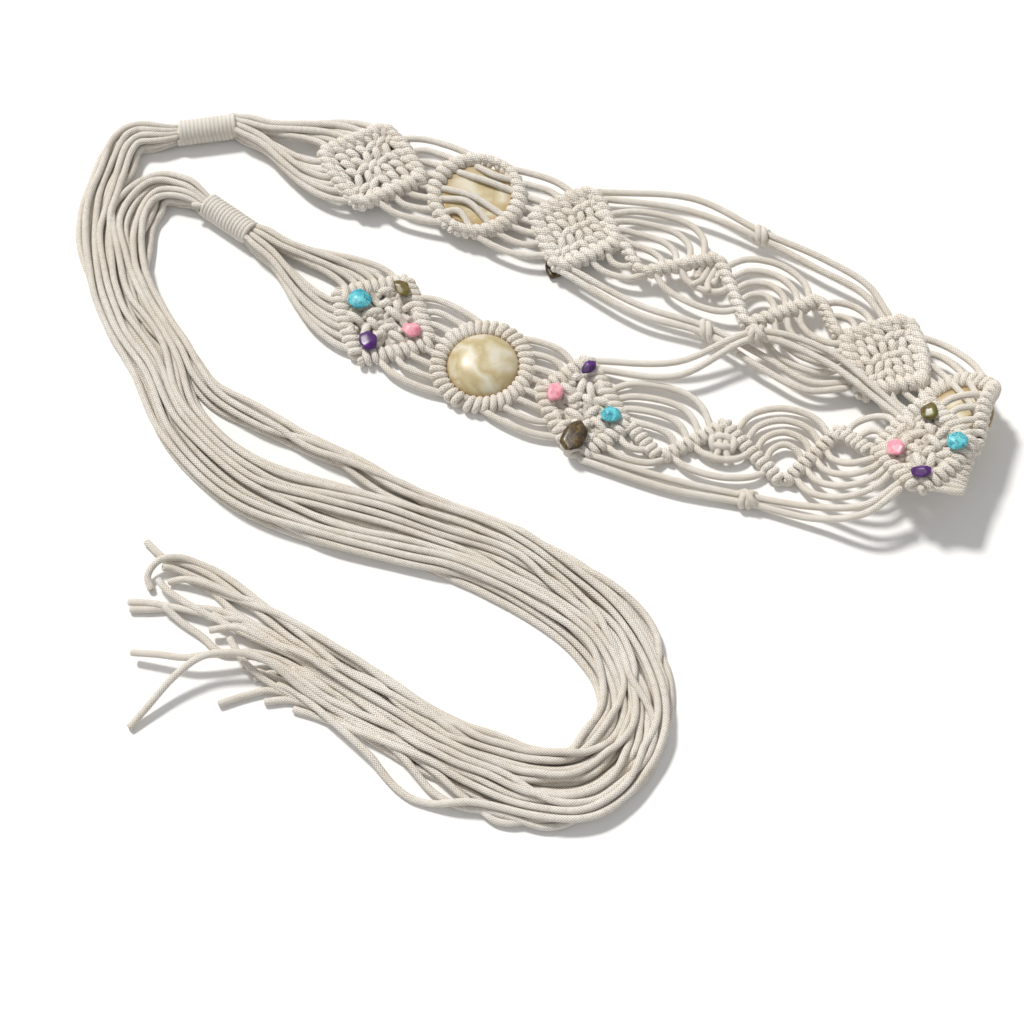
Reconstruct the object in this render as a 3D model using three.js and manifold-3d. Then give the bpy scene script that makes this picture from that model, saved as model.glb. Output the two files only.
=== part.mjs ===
// A macrame tie belt of braided cotton cord, folded in half and laid on a surface.
// The band is knotted from a wrap at each end: fan, diamond, stone ring, diamond, open lattice,
// diamond, then the middle stone ring, where the band is folded over. Its two bundles of tie cords
// leave the wraps and lie in one loop. Millimetres, +Z up, the surface is z = 0.
import * as THREE from "three";
import { mergeVertices } from "three/addons/utils/BufferGeometryUtils.js";
import Module from "manifold-3d";

const wasm = await Module();
wasm.setup();
const { Manifold, Mesh: ManifoldMesh } = wasm;

// Cord and knots
const cordDiameter = 3.6;
const barDiameter = 8; // a row of clove hitches round a carrier cord
const fieldThickness = 5.6; // the knotted field inside a diamond
const seatGap = 0.3; // clear space between neighbouring pieces

// Band, measured along it from the end of a wrap
const bandWidth = 60;
const frontFanLength = 54;
const backFanLength = 47;
const firstDiamondLength = 65;
const thirdDiamondLength = 54;
const fourthDiamondLength = 54;
const latticeLength = 123;
const ringSpacer = 3;
const wrapLength = 34;
const wrapDiameter = 14;
const neckLength = 5; // the gathered start of a fan, next to the wrap
const fanCords = 12;

// Stones
const ovalLength = 37;
const ovalWidth = 38;
const ovalHeight = 9;
const ovalSink = 1; // how far the flat back of an oval lies behind the middle of the band
const chipHeight = 4.2;

// How the band lies: heights of its middle surface, and the hairpin fold
const pressedFlat = 0.1; // what the surface takes off the underside of the front half
const frontLift = barDiameter / 2 - pressedFlat;
const backLift = barDiameter / 2 + seatGap + chipHeight + pressedFlat; // its stones face down
const foldDrop = 22.4; // from the top of the fold down to the back half
const foldHeight = backLift + foldDrop;
const climbLength = 80;
const upperBendRadius = 5.5;
const lowerBendRadius = 10;
const foldTurn = THREE.MathUtils.degToRad(152);
const creaseHeading = THREE.MathUtils.degToRad(-20);
const creaseBeforeRing = 6;
const bandStart = new THREE.Vector2(-137, 162);

// Tie bundles: four side by side, of six cords each. Each leaves its wrap by its own first places and
// then follows the shared route, where lanes says how many bundle widths each lies to its left.
const tieBundleDiameter = 9;
const tieSteps = 27;
const tieSides = 6;
const wrapTurns = { front: 0, back: 33 }; // degrees that a wrap's axis is turned from the end of the band
const tieBundles = [
  { name: "tie_back_outer", wrap: "back", besideWrap: -0.57, lane: 0 },
  { name: "tie_back_inner", wrap: "back", besideWrap: 0.57, lane: 1 },
  { name: "tie_front_outer", wrap: "front", besideWrap: -0.57, lane: 2 },
  { name: "tie_front_inner", wrap: "front", besideWrap: 0.57, lane: 3 },
];
const tieStarts = {
  back: [[-204, 225], [-217, 209], [-224, 186], [-225, 162]],
  front: [[-189, 192], [-198, 182], [-202, 165]],
};
const tieRoute = [
  { x: -208, y: 137, lanes: [-1.7, -0.6, 0.55, 1.65] },
  { x: -200, y: 108, lanes: [-1.5, -0.5, 0.5, 1.5] },
  { x: -186, y: 80, lanes: [-1.5, -0.5, 0.5, 1.6] },
  { x: -164, y: 52, lanes: [-1.7, -0.7, 0.4, 2] },
  { x: -129, y: 24, lanes: [-2.2, -1.1, 0.1, 2.6] },
  { x: -91, y: 6, lanes: [-2.4, -1.2, 0.3, 2.3] },
  { x: -51, y: -10, lanes: [-1.8, -0.7, 0.6, 1.8] },
  { x: -12, y: -25, lanes: [-1.5, -0.5, 0.5, 1.5] },
  { x: 16, y: -40, lanes: [-1.5, -0.5, 0.5, 1.5] },
  { x: 43, y: -63, lanes: [-1.5, -0.5, 0.5, 1.5] },
  { x: 57, y: -88, lanes: [-1.6, -0.53, 0.53, 1.6] },
  { x: 60, y: -112, lanes: [-1.65, -0.55, 0.55, 1.65] },
  { x: 52, y: -133, lanes: [-1.68, -0.56, 0.56, 1.68] },
  { x: 34, y: -147, lanes: [-1.68, -0.56, 0.56, 1.68] },
  { x: 8, y: -147, lanes: [-1.65, -0.55, 0.55, 1.65] },
  { x: -15, y: -137, lanes: [-1.6, -0.53, 0.53, 1.6] },
  { x: -39, y: -124, lanes: [-1.5, -0.5, 0.5, 1.5] },
  { x: -68, y: -106, lanes: [-1.5, -0.5, 0.5, 1.5] },
  { x: -97, y: -89, lanes: [-1.5, -0.5, 0.5, 1.6] },
  { x: -121, y: -75, lanes: [-1.7, -0.6, 0.5, 1.8] },
  { x: -145, y: -61, lanes: [-2, -0.8, 0.6, 2.1] },
  { x: -170, y: -47, lanes: [-2.2, -0.9, 0.8, 2.6] },
];

// Colours of the materials
const colours = {
  cord: 0xe2dbd0,
  oval: 0xd7c391,
  turquoise: 0x46b9c8,
  purple: 0x411478,
  pink: 0xee96a8,
  brown: 0x5f4b1e,
};

// Sizes that follow from the ones above
const barRadius = barDiameter / 2;
const cordRadius = cordDiameter / 2;
const ringLength = ovalLength + 2 * (seatGap + barDiameter);
const ringWidth = ovalWidth + 2 * (seatGap + barDiameter);
const halfWidth = bandWidth / 2;
const tieRadius = tieBundleDiameter / 2;
const tiePitch = tieBundleDiameter + 2 * seatGap;

// Each half of the band: where its motifs start and end, from the end of its own wrap
function layOutHalf(fanLength) {
  const marks = { wrap: 0 };
  let at = 0;
  const step = (name, length) => {
    at += length;
    marks[name] = at;
  };
  step("firstStart", fanLength);
  step("firstEnd", firstDiamondLength);
  step("ringEnd", ringLength);
  step("thirdStart", ringSpacer);
  step("thirdEnd", thirdDiamondLength);
  step("fourthStart", latticeLength);
  step("fourthEnd", fourthDiamondLength);
  step("middle", ringLength / 2);
  marks.firstMiddle = (marks.firstStart + marks.firstEnd) / 2;
  marks.ringMiddle = (marks.firstEnd + marks.ringEnd) / 2;
  marks.thirdMiddle = (marks.thirdStart + marks.thirdEnd) / 2;
  marks.latticeMiddle = (marks.thirdEnd + marks.fourthStart) / 2;
  marks.fourthMiddle = (marks.fourthStart + marks.fourthEnd) / 2;
  return marks;
}
const frontMarks = layOutHalf(frontFanLength);
const backMarks = layOutHalf(backFanLength);
const bandLength = frontMarks.middle + backMarks.middle;
const halves = {
  front: { marks: frontMarks, along: (x) => x, up: 1, lift: frontLift },
  back: { marks: backMarks, along: (x) => bandLength - x, up: -1, lift: backLift },
};

// How the band lies unfolded: which way it heads, in degrees, and how far it is pulled askew, as a length
// along for each length across. The back half is seen mirrored in the crease.
const lie = [
  { half: "front", mark: "wrap", heading: -38, slant: 0 },
  { half: "front", mark: "firstStart", heading: -36, slant: 0 },
  { half: "front", mark: "firstMiddle", heading: -33, slant: -0.12 },
  { half: "front", mark: "firstEnd", heading: -28.1, slant: 0 },
  { half: "front", mark: "ringMiddle", heading: -24, slant: 0 },
  { half: "front", mark: "ringEnd", heading: -25.9, slant: 0 },
  { half: "front", mark: "thirdMiddle", heading: -28, slant: -0.42 },
  { half: "front", mark: "thirdEnd", heading: -21, slant: -0.3 },
  { half: "front", mark: "latticeMiddle", heading: -5, slant: 0 },
  { half: "front", mark: "fourthMiddle", heading: -9, slant: 0 },
  { half: "front", mark: "middle", heading: 30, slant: 0 },
  { half: "back", mark: "fourthMiddle", heading: -10, slant: 0 },
  { half: "back", mark: "latticeMiddle", heading: -12, slant: 0 },
  { half: "back", mark: "thirdMiddle", heading: -19, slant: 0 },
  { half: "back", mark: "ringMiddle", heading: -16, slant: 0 },
  { half: "back", mark: "firstMiddle", heading: -26, slant: 0 },
  { half: "back", mark: "firstStart", heading: -18, slant: 0 },
  { half: "back", mark: "wrap", heading: -16, slant: 0 },
].map((row) => ({
  at: halves[row.half].along(halves[row.half].marks[row.mark]),
  angle: THREE.MathUtils.degToRad(row.heading),
  slant: row.slant,
}));

function lieAt(u) {
  let i = 1;
  while (i < lie.length - 1 && lie[i].at < u) i += 1;
  const [a, b] = [lie[i - 1], lie[i]];
  const share = THREE.MathUtils.clamp((u - a.at) / (b.at - a.at), 0, 1);
  return { angle: a.angle + share * (b.angle - a.angle), slant: a.slant + share * (b.slant - a.slant) };
}

// The middle line of the unfolded band, as points one step apart
const spineStep = 1;
const spine = [bandStart.clone()];
for (let u = 0; u < bandLength + spineStep; u += spineStep) {
  const { angle } = lieAt(u + spineStep / 2);
  const move = new THREE.Vector2(Math.cos(angle), Math.sin(angle)).multiplyScalar(spineStep);
  spine.push(spine[spine.length - 1].clone().add(move));
}

function spineAt(u) {
  const { angle } = lieAt(u);
  if (u <= 0) {
    return bandStart.clone().add(new THREE.Vector2(Math.cos(angle), Math.sin(angle)).multiplyScalar(u));
  }
  const i = Math.min(Math.floor(u / spineStep), spine.length - 2);
  const beyond = u - i * spineStep;
  return spine[i].clone().add(spine[i + 1].clone().sub(spine[i]).multiplyScalar(beyond / spineStep));
}

// The hairpin: a tight upper bend, a straight slope down and back, and an easy lower bend
const restTurn = Math.PI - foldTurn;
const upperDrop = upperBendRadius * (1 - Math.cos(foldTurn));
const lowerDrop = lowerBendRadius * (1 - Math.cos(restTurn));
const slopeLength = (foldDrop - upperDrop - lowerDrop) / Math.sin(foldTurn);
const upperArc = upperBendRadius * foldTurn;
const lowerArc = lowerBendRadius * restTurn;
const creaseNormal = new THREE.Vector2(Math.cos(creaseHeading), Math.sin(creaseHeading));
const creaseAxis = new THREE.Vector2(-creaseNormal.y, creaseNormal.x);
const creasePoint = spineAt(frontMarks.fourthEnd - creaseBeforeRing);
const climb = foldHeight - frontLift;

// Place a point of the band: u along it, v across it, w out of its front face
function place(u, v, w) {
  const { angle, slant } = lieAt(u);
  const [c, sn] = [Math.cos(angle), Math.sin(angle)];
  const across = new THREE.Vector2(slant * c - sn, slant * sn + c).multiplyScalar(v);
  const flat = spineAt(u).add(across).sub(creasePoint);
  const s = flat.dot(creaseNormal);
  const t = THREE.MathUtils.clamp(1 + s / climbLength, 0, 1);
  const upper = THREE.MathUtils.clamp(s / upperBendRadius, 0, foldTurn);
  const slope = THREE.MathUtils.clamp(s - upperArc, 0, slopeLength);
  const lower = THREE.MathUtils.clamp((s - upperArc - slopeLength) / lowerBendRadius, 0, restTurn);
  const tail = Math.max(s - upperArc - slopeLength - lowerArc, 0);
  // What a slope takes from the length in plan: the integral of half its square
  const shortening = ((climb * climb) / climbLength) * (6 * t ** 3 - 9 * t ** 4 + 3.6 * t ** 5);
  const reach =
    Math.min(s, 0) - shortening - tail +
    upperBendRadius * Math.sin(upper) + slope * Math.cos(foldTurn) +
    lowerBendRadius * (Math.sin(foldTurn + lower) - Math.sin(foldTurn));
  const height =
    frontLift + climb * t * t * (3 - 2 * t) -
    upperBendRadius * (1 - Math.cos(upper)) - slope * Math.sin(foldTurn) -
    lowerBendRadius * (Math.cos(foldTurn) - Math.cos(foldTurn + lower));
  const turn = upper + lower;
  const plan = creasePoint.clone()
    .addScaledVector(creaseNormal, reach + w * Math.sin(turn))
    .addScaledVector(creaseAxis, flat.dot(creaseAxis));
  return new THREE.Vector3(plan.x, plan.y, height + w * Math.cos(turn));
}

// Solids from three.js geometries
const mergeReach = 1e-4;

function solidOf(geometry) {
  const plain = geometry.index ? geometry.clone() : geometry;
  for (const name of ["normal", "uv"]) plain.deleteAttribute(name);
  const merged = mergeVertices(plain, mergeReach);
  return new Manifold(
    new ManifoldMesh({
      numProp: 3,
      vertProperties: new Float32Array(merged.attributes.position.array),
      triVerts: new Uint32Array(merged.index.array),
    }),
  );
}

function geometryOf(solid) {
  const mesh = solid.getMesh();
  const geometry = new THREE.BufferGeometry();
  geometry.setAttribute("position", new THREE.BufferAttribute(new Float32Array(mesh.vertProperties), 3));
  geometry.setIndex(new THREE.BufferAttribute(new Uint32Array(mesh.triVerts), 1));
  geometry.computeVertexNormals();
  return geometry;
}

function join(solids) {
  return solids.reduce((whole, solid) => whole.add(solid));
}

// Bend a geometry whose x, y, z are u, v, w onto the band
function ontoBand(geometry, mapPoint) {
  const position = geometry.attributes.position;
  const point = new THREE.Vector3();
  for (let i = 0; i < position.count; i += 1) {
    point.fromBufferAttribute(position, i);
    const placed = mapPoint(point);
    position.setXYZ(i, placed.x, placed.y, placed.z);
  }
  return geometry;
}

function roundShape(radius, sides) {
  const shape = new THREE.Shape();
  for (let i = 0; i < sides; i += 1) {
    const angle = (i * 2 * Math.PI) / sides;
    const [x, y] = [radius * Math.cos(angle), radius * Math.sin(angle)];
    if (i === 0) shape.moveTo(x, y);
    else shape.lineTo(x, y);
  }
  shape.closePath();
  return shape;
}

function tube(points, radius, sides, steps) {
  const path = new THREE.CatmullRomCurve3(points, false, "centripetal");
  return new THREE.ExtrudeGeometry(roundShape(radius, sides), { steps, extrudePath: path });
}

// How finely each kind of cord is faceted
const arcSides = 5;
const arcSteps = 3;
const fanSides = 4;
const barSides = 6;
const ringSteps = 14;
const neckSides = 8;
const wrapSides = 12;

// A cord over the band through places given as [x, v, w], x from the half's own wrap
function bandCord(half, places, radius = cordRadius, steps = arcSteps, sides = arcSides) {
  const points = places.map(([x, v, w]) => place(half.along(x), v, w ?? 0));
  return solidOf(tube(points, radius, sides, steps));
}

// The outline of a motif: a superellipse, a diamond at power 1 and an ellipse at power 2
function outlinePoint(angle, halfLength, halfAcross, power) {
  const [c, s] = [Math.cos(angle), Math.sin(angle)];
  const scale = (Math.abs(c) ** power + Math.abs(s) ** power) ** (-1 / power);
  return new THREE.Vector2(halfLength * c * scale, halfAcross * s * scale);
}

const loopTubeShare = 0.1;
const diamond = 1;
const ellipse = 2;

// A closed tube round a motif, from a torus bent to the motif's outline
function loopTube(half, middle, halfLength, halfAcross, power, radius, sides, steps) {
  const torus = new THREE.TorusGeometry(1, loopTubeShare, sides, steps);
  return solidOf(
    ontoBand(torus, (p) => {
      const angle = Math.atan2(p.y, p.x);
      const out = ((Math.hypot(p.x, p.y) - 1) / loopTubeShare) * radius;
      const at = outlinePoint(angle, halfLength, halfAcross, power);
      const outward = new THREE.Vector2(at.x / halfLength ** 2, at.y / halfAcross ** 2).normalize();
      at.addScaledVector(outward, out);
      return place(half.along(middle) + at.x, at.y, (p.z / loopTubeShare) * radius);
    }),
  );
}

// A knotted diamond: a slab with a raised border, from a box grid turned by 45 degrees
const diamondStops = [
  { at: -1, rise: 0.5 },
  { at: -0.84, rise: 1 },
  { at: -0.66, rise: 0 },
  { at: 0.66, rise: 0 },
  { at: 0.84, rise: 1 },
  { at: 1, rise: 0.5 },
];

// How high a diamond's face stands over the band's middle, at shares of its half length and half width
function faceHeight(x, v) {
  const heightAt = (share) => {
    const after = diamondStops.findIndex((stop) => stop.at >= share);
    if (after < 1) return -barRadius;
    const [a, b] = [diamondStops[after - 1], diamondStops[after]];
    const [low, high] = [a, b].map((stop) => (stop.rise > 0 ? barRadius * stop.rise : fieldThickness / 2));
    return low + ((high - low) * (share - a.at)) / (b.at - a.at);
  };
  const [i, j] = [heightAt(x - v), heightAt(x + v)];
  return Math.abs(x) + Math.abs(v) > 1 ? -barRadius : Math.max(i, j);
}

function diamondSlab(half, start, end, grow = 0) {
  const cells = diamondStops.length - 1;
  const box = new THREE.BoxGeometry(cells, cells, 1, cells, cells, 1);
  const middle = (start + end) / 2;
  const halfLength = (end - start) / 2 - seatGap / 2 + grow;
  return solidOf(
    ontoBand(box, (p) => {
      const [i, j] = [p.x, p.y].map((value) => diamondStops[Math.round(value + cells / 2)]);
      const onBorder = [i, j].some((stop) => stop.rise > 0);
      const edge = Math.min(i.rise || 1, j.rise || 1);
      const thick = onBorder ? barRadius * edge + grow : fieldThickness / 2;
      const x = ((i.at + j.at) / 2) * halfLength;
      const v = ((j.at - i.at) / 2) * (halfWidth + grow);
      const w = p.z > 0 ? thick : -(onBorder ? thick : barRadius);
      return place(half.along(middle) + x, v, w);
    }),
  );
}

function ringTube(half, middle, radius) {
  return loopTube(
    half, middle, ringLength / 2 - barRadius, ringWidth / 2 - barRadius, ellipse, radius, barSides, ringSteps,
  );
}

// The middle of a motif's knotted edge, at a share of the way from its end corner to its side corner
const borderShare = 0.84; // of a diamond's half size, where its border bars run
const motifs = {
  diamond: (length) => [(length / 2) * borderShare, halfWidth * borderShare, diamond],
  ring: () => [ringLength / 2 - barRadius, ringWidth / 2 - barRadius, ellipse],
};

function edgePlace(middle, outline, towards, share, side) {
  const at = outlinePoint((share * Math.PI) / 2, ...outline);
  return [middle + towards * at.x, side * at.y];
}

// Arcs of cord from one motif's edge to the next, nested about the place where the motifs touch.
// Each row: where it leaves and lands, as shares of a quarter of the edge, and its swell in cords.
const arcRows = [
  { leave: 0.22, land: 0.24, swell: 0.1, steps: 2 },
  { leave: 0.5, land: 0.5, swell: 0.5, steps: 3 },
  { leave: 0.82, land: 0.8, swell: 0.8, steps: 3 },
];

function nestedArcs(half, before, after) {
  const solids = [];
  for (const side of [-1, 1]) {
    for (const row of arcRows) {
      const from = edgePlace(before.middle, before.outline, 1, row.leave, side);
      const to = edgePlace(after.middle, after.outline, -1, row.land, side);
      const top = side * (Math.max(Math.abs(from[1]), Math.abs(to[1])) + row.swell * cordDiameter);
      const between = (share) => from[0] + (to[0] - from[0]) * share;
      const places = [from, [between(0.3), top], [between(0.66), top], to];
      solids.push(bandCord(half, places, cordRadius, row.steps));
    }
  }
  return solids;
}

// Lattice: a zigzag of clove-hitch bars, as shares of its length and of half the band's width
const zigzag = [
  { x: 0, v: 0 },
  { x: 0.13, v: -0.42 },
  { x: 0.39, v: 0.45 },
  { x: 0.64, v: -0.57 },
  { x: 0.86, v: 0.5 },
  { x: 1, v: 0 },
];
// Its arcs, in the same shares: the outermost and the innermost of each nest, with the rest between.
// The ends lie on bars or on a diamond's border.
const latticeArcs = [
  {
    nest: "over first valley", count: 3,
    leave: [[-0.12, 0.48], [-0.04, 0.14]],
    top: [[0.2, 0.92], [0.12, 0.1]], land: [[0.34, 0.28], [0.2, -0.19]],
  },
  {
    nest: "under first valley", count: 2,
    leave: [[-0.11, -0.44], [-0.05, -0.2]],
    top: [[0, -0.62], [0.01, -0.4]], land: [[0.14, -0.42], [0.08, -0.26]],
  },
  {
    nest: "under first peak", count: 2,
    leave: [[0.17, -0.29], [0.26, 0.02]],
    top: [[0.38, -0.58], [0.38, -0.24]], land: [[0.58, -0.33], [0.5, 0.02]],
  },
  {
    nest: "over second valley", count: 3,
    leave: [[0.43, 0.3], [0.56, -0.24]],
    top: [[0.63, 0.86], [0.64, 0.16]], land: [[0.83, 0.36], [0.72, -0.18]],
  },
  {
    nest: "under second peak", count: 3,
    leave: [[0.68, -0.38], [0.8, 0.22]],
    top: [[0.9, -0.88], [0.91, -0.2]], land: [[1.1, -0.46], [1.03, -0.12]],
  },
  {
    nest: "over the last bar", count: 2,
    leave: [[0.88, 0.43], [0.93, 0.25]],
    top: [[1, 0.7], [1, 0.42]], land: [[1.1, 0.46], [1.05, 0.22]],
  },
];
// An arc's shoulders: how far each lies from its end towards the top, along the band and across it
const shoulderAlong = 0.34;
const shoulderAcross = 0.7;
const peakTie = { from: [0.39, 0.4], to: [0.38, -0.24] }; // the square knot that hangs in the first peak

function latticePlace(half, x, v) {
  const { thirdEnd, fourthStart } = half.marks;
  return [thirdEnd + (fourthStart - thirdEnd) * x, v * halfWidth];
}

function latticeSolids(half) {
  const solids = [];
  const inset = barRadius + seatGap;
  for (let i = 1; i < zigzag.length; i += 1) {
    const ends = [zigzag[i - 1], zigzag[i]].map((p) => latticePlace(half, p.x, p.v));
    if (i === 1) ends[0][0] += inset;
    if (i === zigzag.length - 1) ends[1][0] -= inset;
    const middle = [(ends[0][0] + ends[1][0]) / 2, (ends[0][1] + ends[1][1]) / 2];
    solids.push(bandCord(half, [ends[0], middle, ends[1]], barRadius, 1, barSides));
  }
  for (const arc of latticeArcs) {
    for (let k = 0; k < arc.count; k += 1) {
      const share = k / (arc.count - 1);
      const nested = ([outer, inner]) => outer.map((value, i) => value + (inner[i] - value) * share);
      const [leave, top, land] = [arc.leave, arc.top, arc.land].map(nested);
      const shoulder = (end) => [
        end[0] + (top[0] - end[0]) * shoulderAlong,
        end[1] + (top[1] - end[1]) * shoulderAcross,
      ];
      const places = [leave, shoulder(leave), top, shoulder(land), land];
      solids.push(bandCord(half, places.map(([x, v]) => latticePlace(half, x, v))));
    }
  }
  const tieEnds = [peakTie.from, peakTie.to].map(([x, v]) => latticePlace(half, x, v));
  const tieMiddle = tieEnds[0].map((value, i) => (value + tieEnds[1][i]) / 2);
  solids.push(bandCord(half, [tieEnds[0], tieMiddle, tieEnds[1]], cordDiameter, 1, barSides));
  return solids;
}

// Loose cord pairs beside a lattice, each tied together once by an overhand knot. At each station: how
// far out from the middle, in half widths, and how far the pair rises over the other half of the band
// or tucks in under its own, in the heights below.
const looseKnotRadius = 5.5;
const looseSteps = 6;
const looseStations = [-0.2, 0.18, 0.5, 0.78, 1, 1.14];
const looseKnotStation = 2;
const looseApart = [1.15, 1.3, 1.15, 1.5, 1.3, 1.15]; // between the two cords, in cord diameters
const level = [0, 0, 0, 0, 0, 0];
const passHeight = backLift - frontLift + looseKnotRadius + cordRadius + seatGap;
const tuckDepth = barRadius + cordRadius + 2 * seatGap;
const looseRoutes = [
  {
    half: "front", name: "upper", side: 1, out: [0.84, 1.55, 2.05, 1.75, 1.1, 0.7],
    pass: [0, 0.45, 1, 0.95, 0.33, 0], tuck: [0, 0, 0, 0, 0, 1],
  },
  {
    half: "front", name: "lower", side: -1, out: [0.84, 0.86, 0.94, 1.12, 1.18, 0.8],
    pass: level, tuck: level,
  },
  {
    half: "back", name: "upper", side: 1, out: [0.84, 1.3, 1.25, 1.2, 1.1, 0.75],
    pass: level, tuck: level,
  },
  {
    half: "back", name: "lower", side: -1, out: [0.84, 1.12, 0.98, 1.1, 1.15, 0.8],
    pass: level, tuck: level,
  },
];

function looseSolids(half, route) {
  const centre = looseStations.map((x, i) => [
    ...latticePlace(half, x, route.side * route.out[i]),
    route.pass[i] * passHeight - route.tuck[i] * tuckDepth,
  ]);
  const cords = [-1, 1].map((sign) => {
    const places = centre.map(([x, v, w], i) => [x, v + sign * looseApart[i] * cordRadius, w]);
    return bandCord(half, places, cordRadius, looseSteps, arcSides);
  });
  const [x, v, w] = centre[looseKnotStation];
  const at = place(half.along(x), v, w);
  const knot = new THREE.DodecahedronGeometry(looseKnotRadius).translate(at.x, at.y, at.z);
  return [...cords, solidOf(knot)];
}

// A fan: single cords from the neck of a wrap to the two near borders of the first diamond
const cordSlack = 0.1;
const fanLevels = [0, 1, -1, 1, -1, 0]; // how many cords above the wrap's axis each one leaves it
const fanInner = 3; // so many cords of a side leave the wrap next to its middle, the rest beside them
const fanBends = [
  { along: 0.38, across: 0.4, level: 0.5 },
  { along: 0.72, across: 0.92, level: 0 },
];
function fanSolids(half) {
  const { firstStart, firstEnd, firstMiddle } = half.marks;
  const wrapAxis = half.up * (wrapDiameter / 2 - half.lift);
  const neckPlaces = [0, 0.5, 1].map((share) => [seatGap + share * neckLength, 0, wrapAxis]);
  const solids = [bandCord(half, neckPlaces, wrapDiameter / 2 - cordRadius / 2, 1, neckSides)];
  const pitch = cordDiameter + cordSlack;
  const reach = motifs.diamond(firstEnd - firstStart);
  for (const side of [-1, 1]) {
    for (let k = 0; k < fanCords / 2; k += 1) {
      const share = (k + 0.6) / (fanCords / 2);
      const end = edgePlace(firstMiddle, reach, -1, share, side);
      const begin = [neckLength - cordRadius / 2, side * pitch * (k < fanInner ? 0.5 : 1.5)];
      const height = wrapAxis + pitch * fanLevels[k];
      const bends = fanBends.map((bend) => [
        begin[0] + (end[0] - begin[0]) * bend.along,
        begin[1] + (end[1] - begin[1]) * bend.across,
        height * bend.level,
      ]);
      solids.push(bandCord(half, [[...begin, height], ...bends, end], cordRadius, arcSteps, fanSides));
    }
  }
  return solids;
}

// Rigid pieces stand in the band's own frame at a place of it
function frameAt(u, v, w) {
  const step = 1;
  const along = place(u + step, v, w).sub(place(u - step, v, w)).normalize();
  const across = place(u, v + step, w).sub(place(u, v - step, w)).normalize();
  const out = new THREE.Vector3().crossVectors(along, across).normalize();
  const side = new THREE.Vector3().crossVectors(out, along);
  return new THREE.Matrix4().makeBasis(along, side, out).setPosition(place(u, v, w));
}

const group = new THREE.Group();

function addMesh(name, geometry, colour, roughness) {
  const material = new THREE.MeshStandardMaterial({ color: colours[colour], roughness, metalness: 0 });
  const mesh = new THREE.Mesh(geometry, material);
  mesh.name = name;
  group.add(mesh);
  return mesh;
}

const cordRoughness = 0.9;
const stoneRoughness = 0.25;

// Chips, four on a diamond. x and v are shares of its half length and the half width.
const chips = {
  first: [
    { chip: "left", stone: "turquoise", x: -0.47, v: 0.04, length: 13, width: 12, turn: 20 },
    { chip: "lower", stone: "purple", x: 0.03, v: -0.57, length: 11, width: 9.5, turn: -30 },
    { chip: "right", stone: "pink", x: 0.55, v: 0, length: 10, width: 8.5, turn: 15 },
    { chip: "upper", stone: "brown", x: 0.06, v: 0.62, length: 12, width: 7.5, turn: -28 },
  ],
  third: [
    { chip: "left", stone: "pink", x: -0.58, v: -0.03, length: 8.5, width: 11, turn: 12 },
    { chip: "lower", stone: "brown", x: -0.1, v: -0.66, length: 12.5, width: 19, turn: -14 },
    { chip: "right", stone: "turquoise", x: 0.58, v: 0, length: 10, width: 9.5, turn: 30 },
    { chip: "upper", stone: "purple", x: 0.06, v: 0.66, length: 6.5, width: 10, turn: -12 },
  ],
  fourth: [
    { chip: "left", stone: "pink", x: -0.55, v: -0.12, length: 9.5, width: 11, turn: 35 },
    { chip: "lower", stone: "purple", x: 0, v: -0.66, length: 11, width: 7, turn: 5 },
    { chip: "right", stone: "turquoise", x: 0.57, v: -0.1, length: 11, width: 10.5, turn: 40 },
    { chip: "upper", stone: "brown", x: 0.03, v: 0.55, length: 9, width: 11.5, turn: 0 },
  ],
};

// How far a chip's middle is raised so that it clears the knots below by the gap, with the chip taken
// as the ellipsoid round its corners
const settleCells = 12;

function chipSeat(row, reach, halfLength, slant) {
  const turn = THREE.MathUtils.degToRad(row.turn);
  const lifts = [0];
  for (let i = -settleCells; i <= settleCells; i += 1) {
    for (let j = -settleCells; j <= settleCells; j += 1) {
      const [p, q] = [i / settleCells, j / settleCells];
      const depth = reach.z * Math.sqrt(Math.max(1 - p * p - q * q, 0));
      const [x, y] = [p * reach.x, q * reach.y];
      const [ahead, aside] = [
        x * Math.cos(turn) - y * Math.sin(turn),
        x * Math.sin(turn) + y * Math.cos(turn),
      ];
      const shareAlong = row.x + (ahead - slant * aside) / halfLength;
      const shareAcross = row.v + aside / halfWidth;
      if (depth > 0) lifts.push(faceHeight(shareAlong, shareAcross) + depth);
    }
  }
  return Math.max(...lifts) + seatGap;
}

function addChip(halfName, diamondName, row) {
  const half = halves[halfName];
  const start = half.marks[`${diamondName}Start`];
  const end = half.marks[`${diamondName}End`];
  const halfLength = (end - start) / 2;
  const x = (start + end) / 2 + halfLength * row.x;
  const geometry = new THREE.DodecahedronGeometry();
  const box = new THREE.Box3().setFromBufferAttribute(geometry.attributes.position);
  const size = box.getSize(new THREE.Vector3());
  geometry.scale(row.length / size.x, row.width / size.y, chipHeight / size.z);
  geometry.rotateZ(THREE.MathUtils.degToRad(row.turn));
  geometry.deleteAttribute("uv");
  geometry.deleteAttribute("normal");
  const merged = mergeVertices(geometry, mergeReach);
  const reach = new THREE.Vector3(row.length / size.x, row.width / size.y, chipHeight / size.z);
  const seat = chipSeat(row, reach, halfLength, lieAt(half.along(x)).slant);
  merged.applyMatrix4(frameAt(half.along(x), row.v * halfWidth, seat));
  merged.computeVertexNormals();
  addMesh(`chip_${halfName}_${diamondName}_${row.chip}`, merged, row.stone, stoneRoughness);
}

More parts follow.
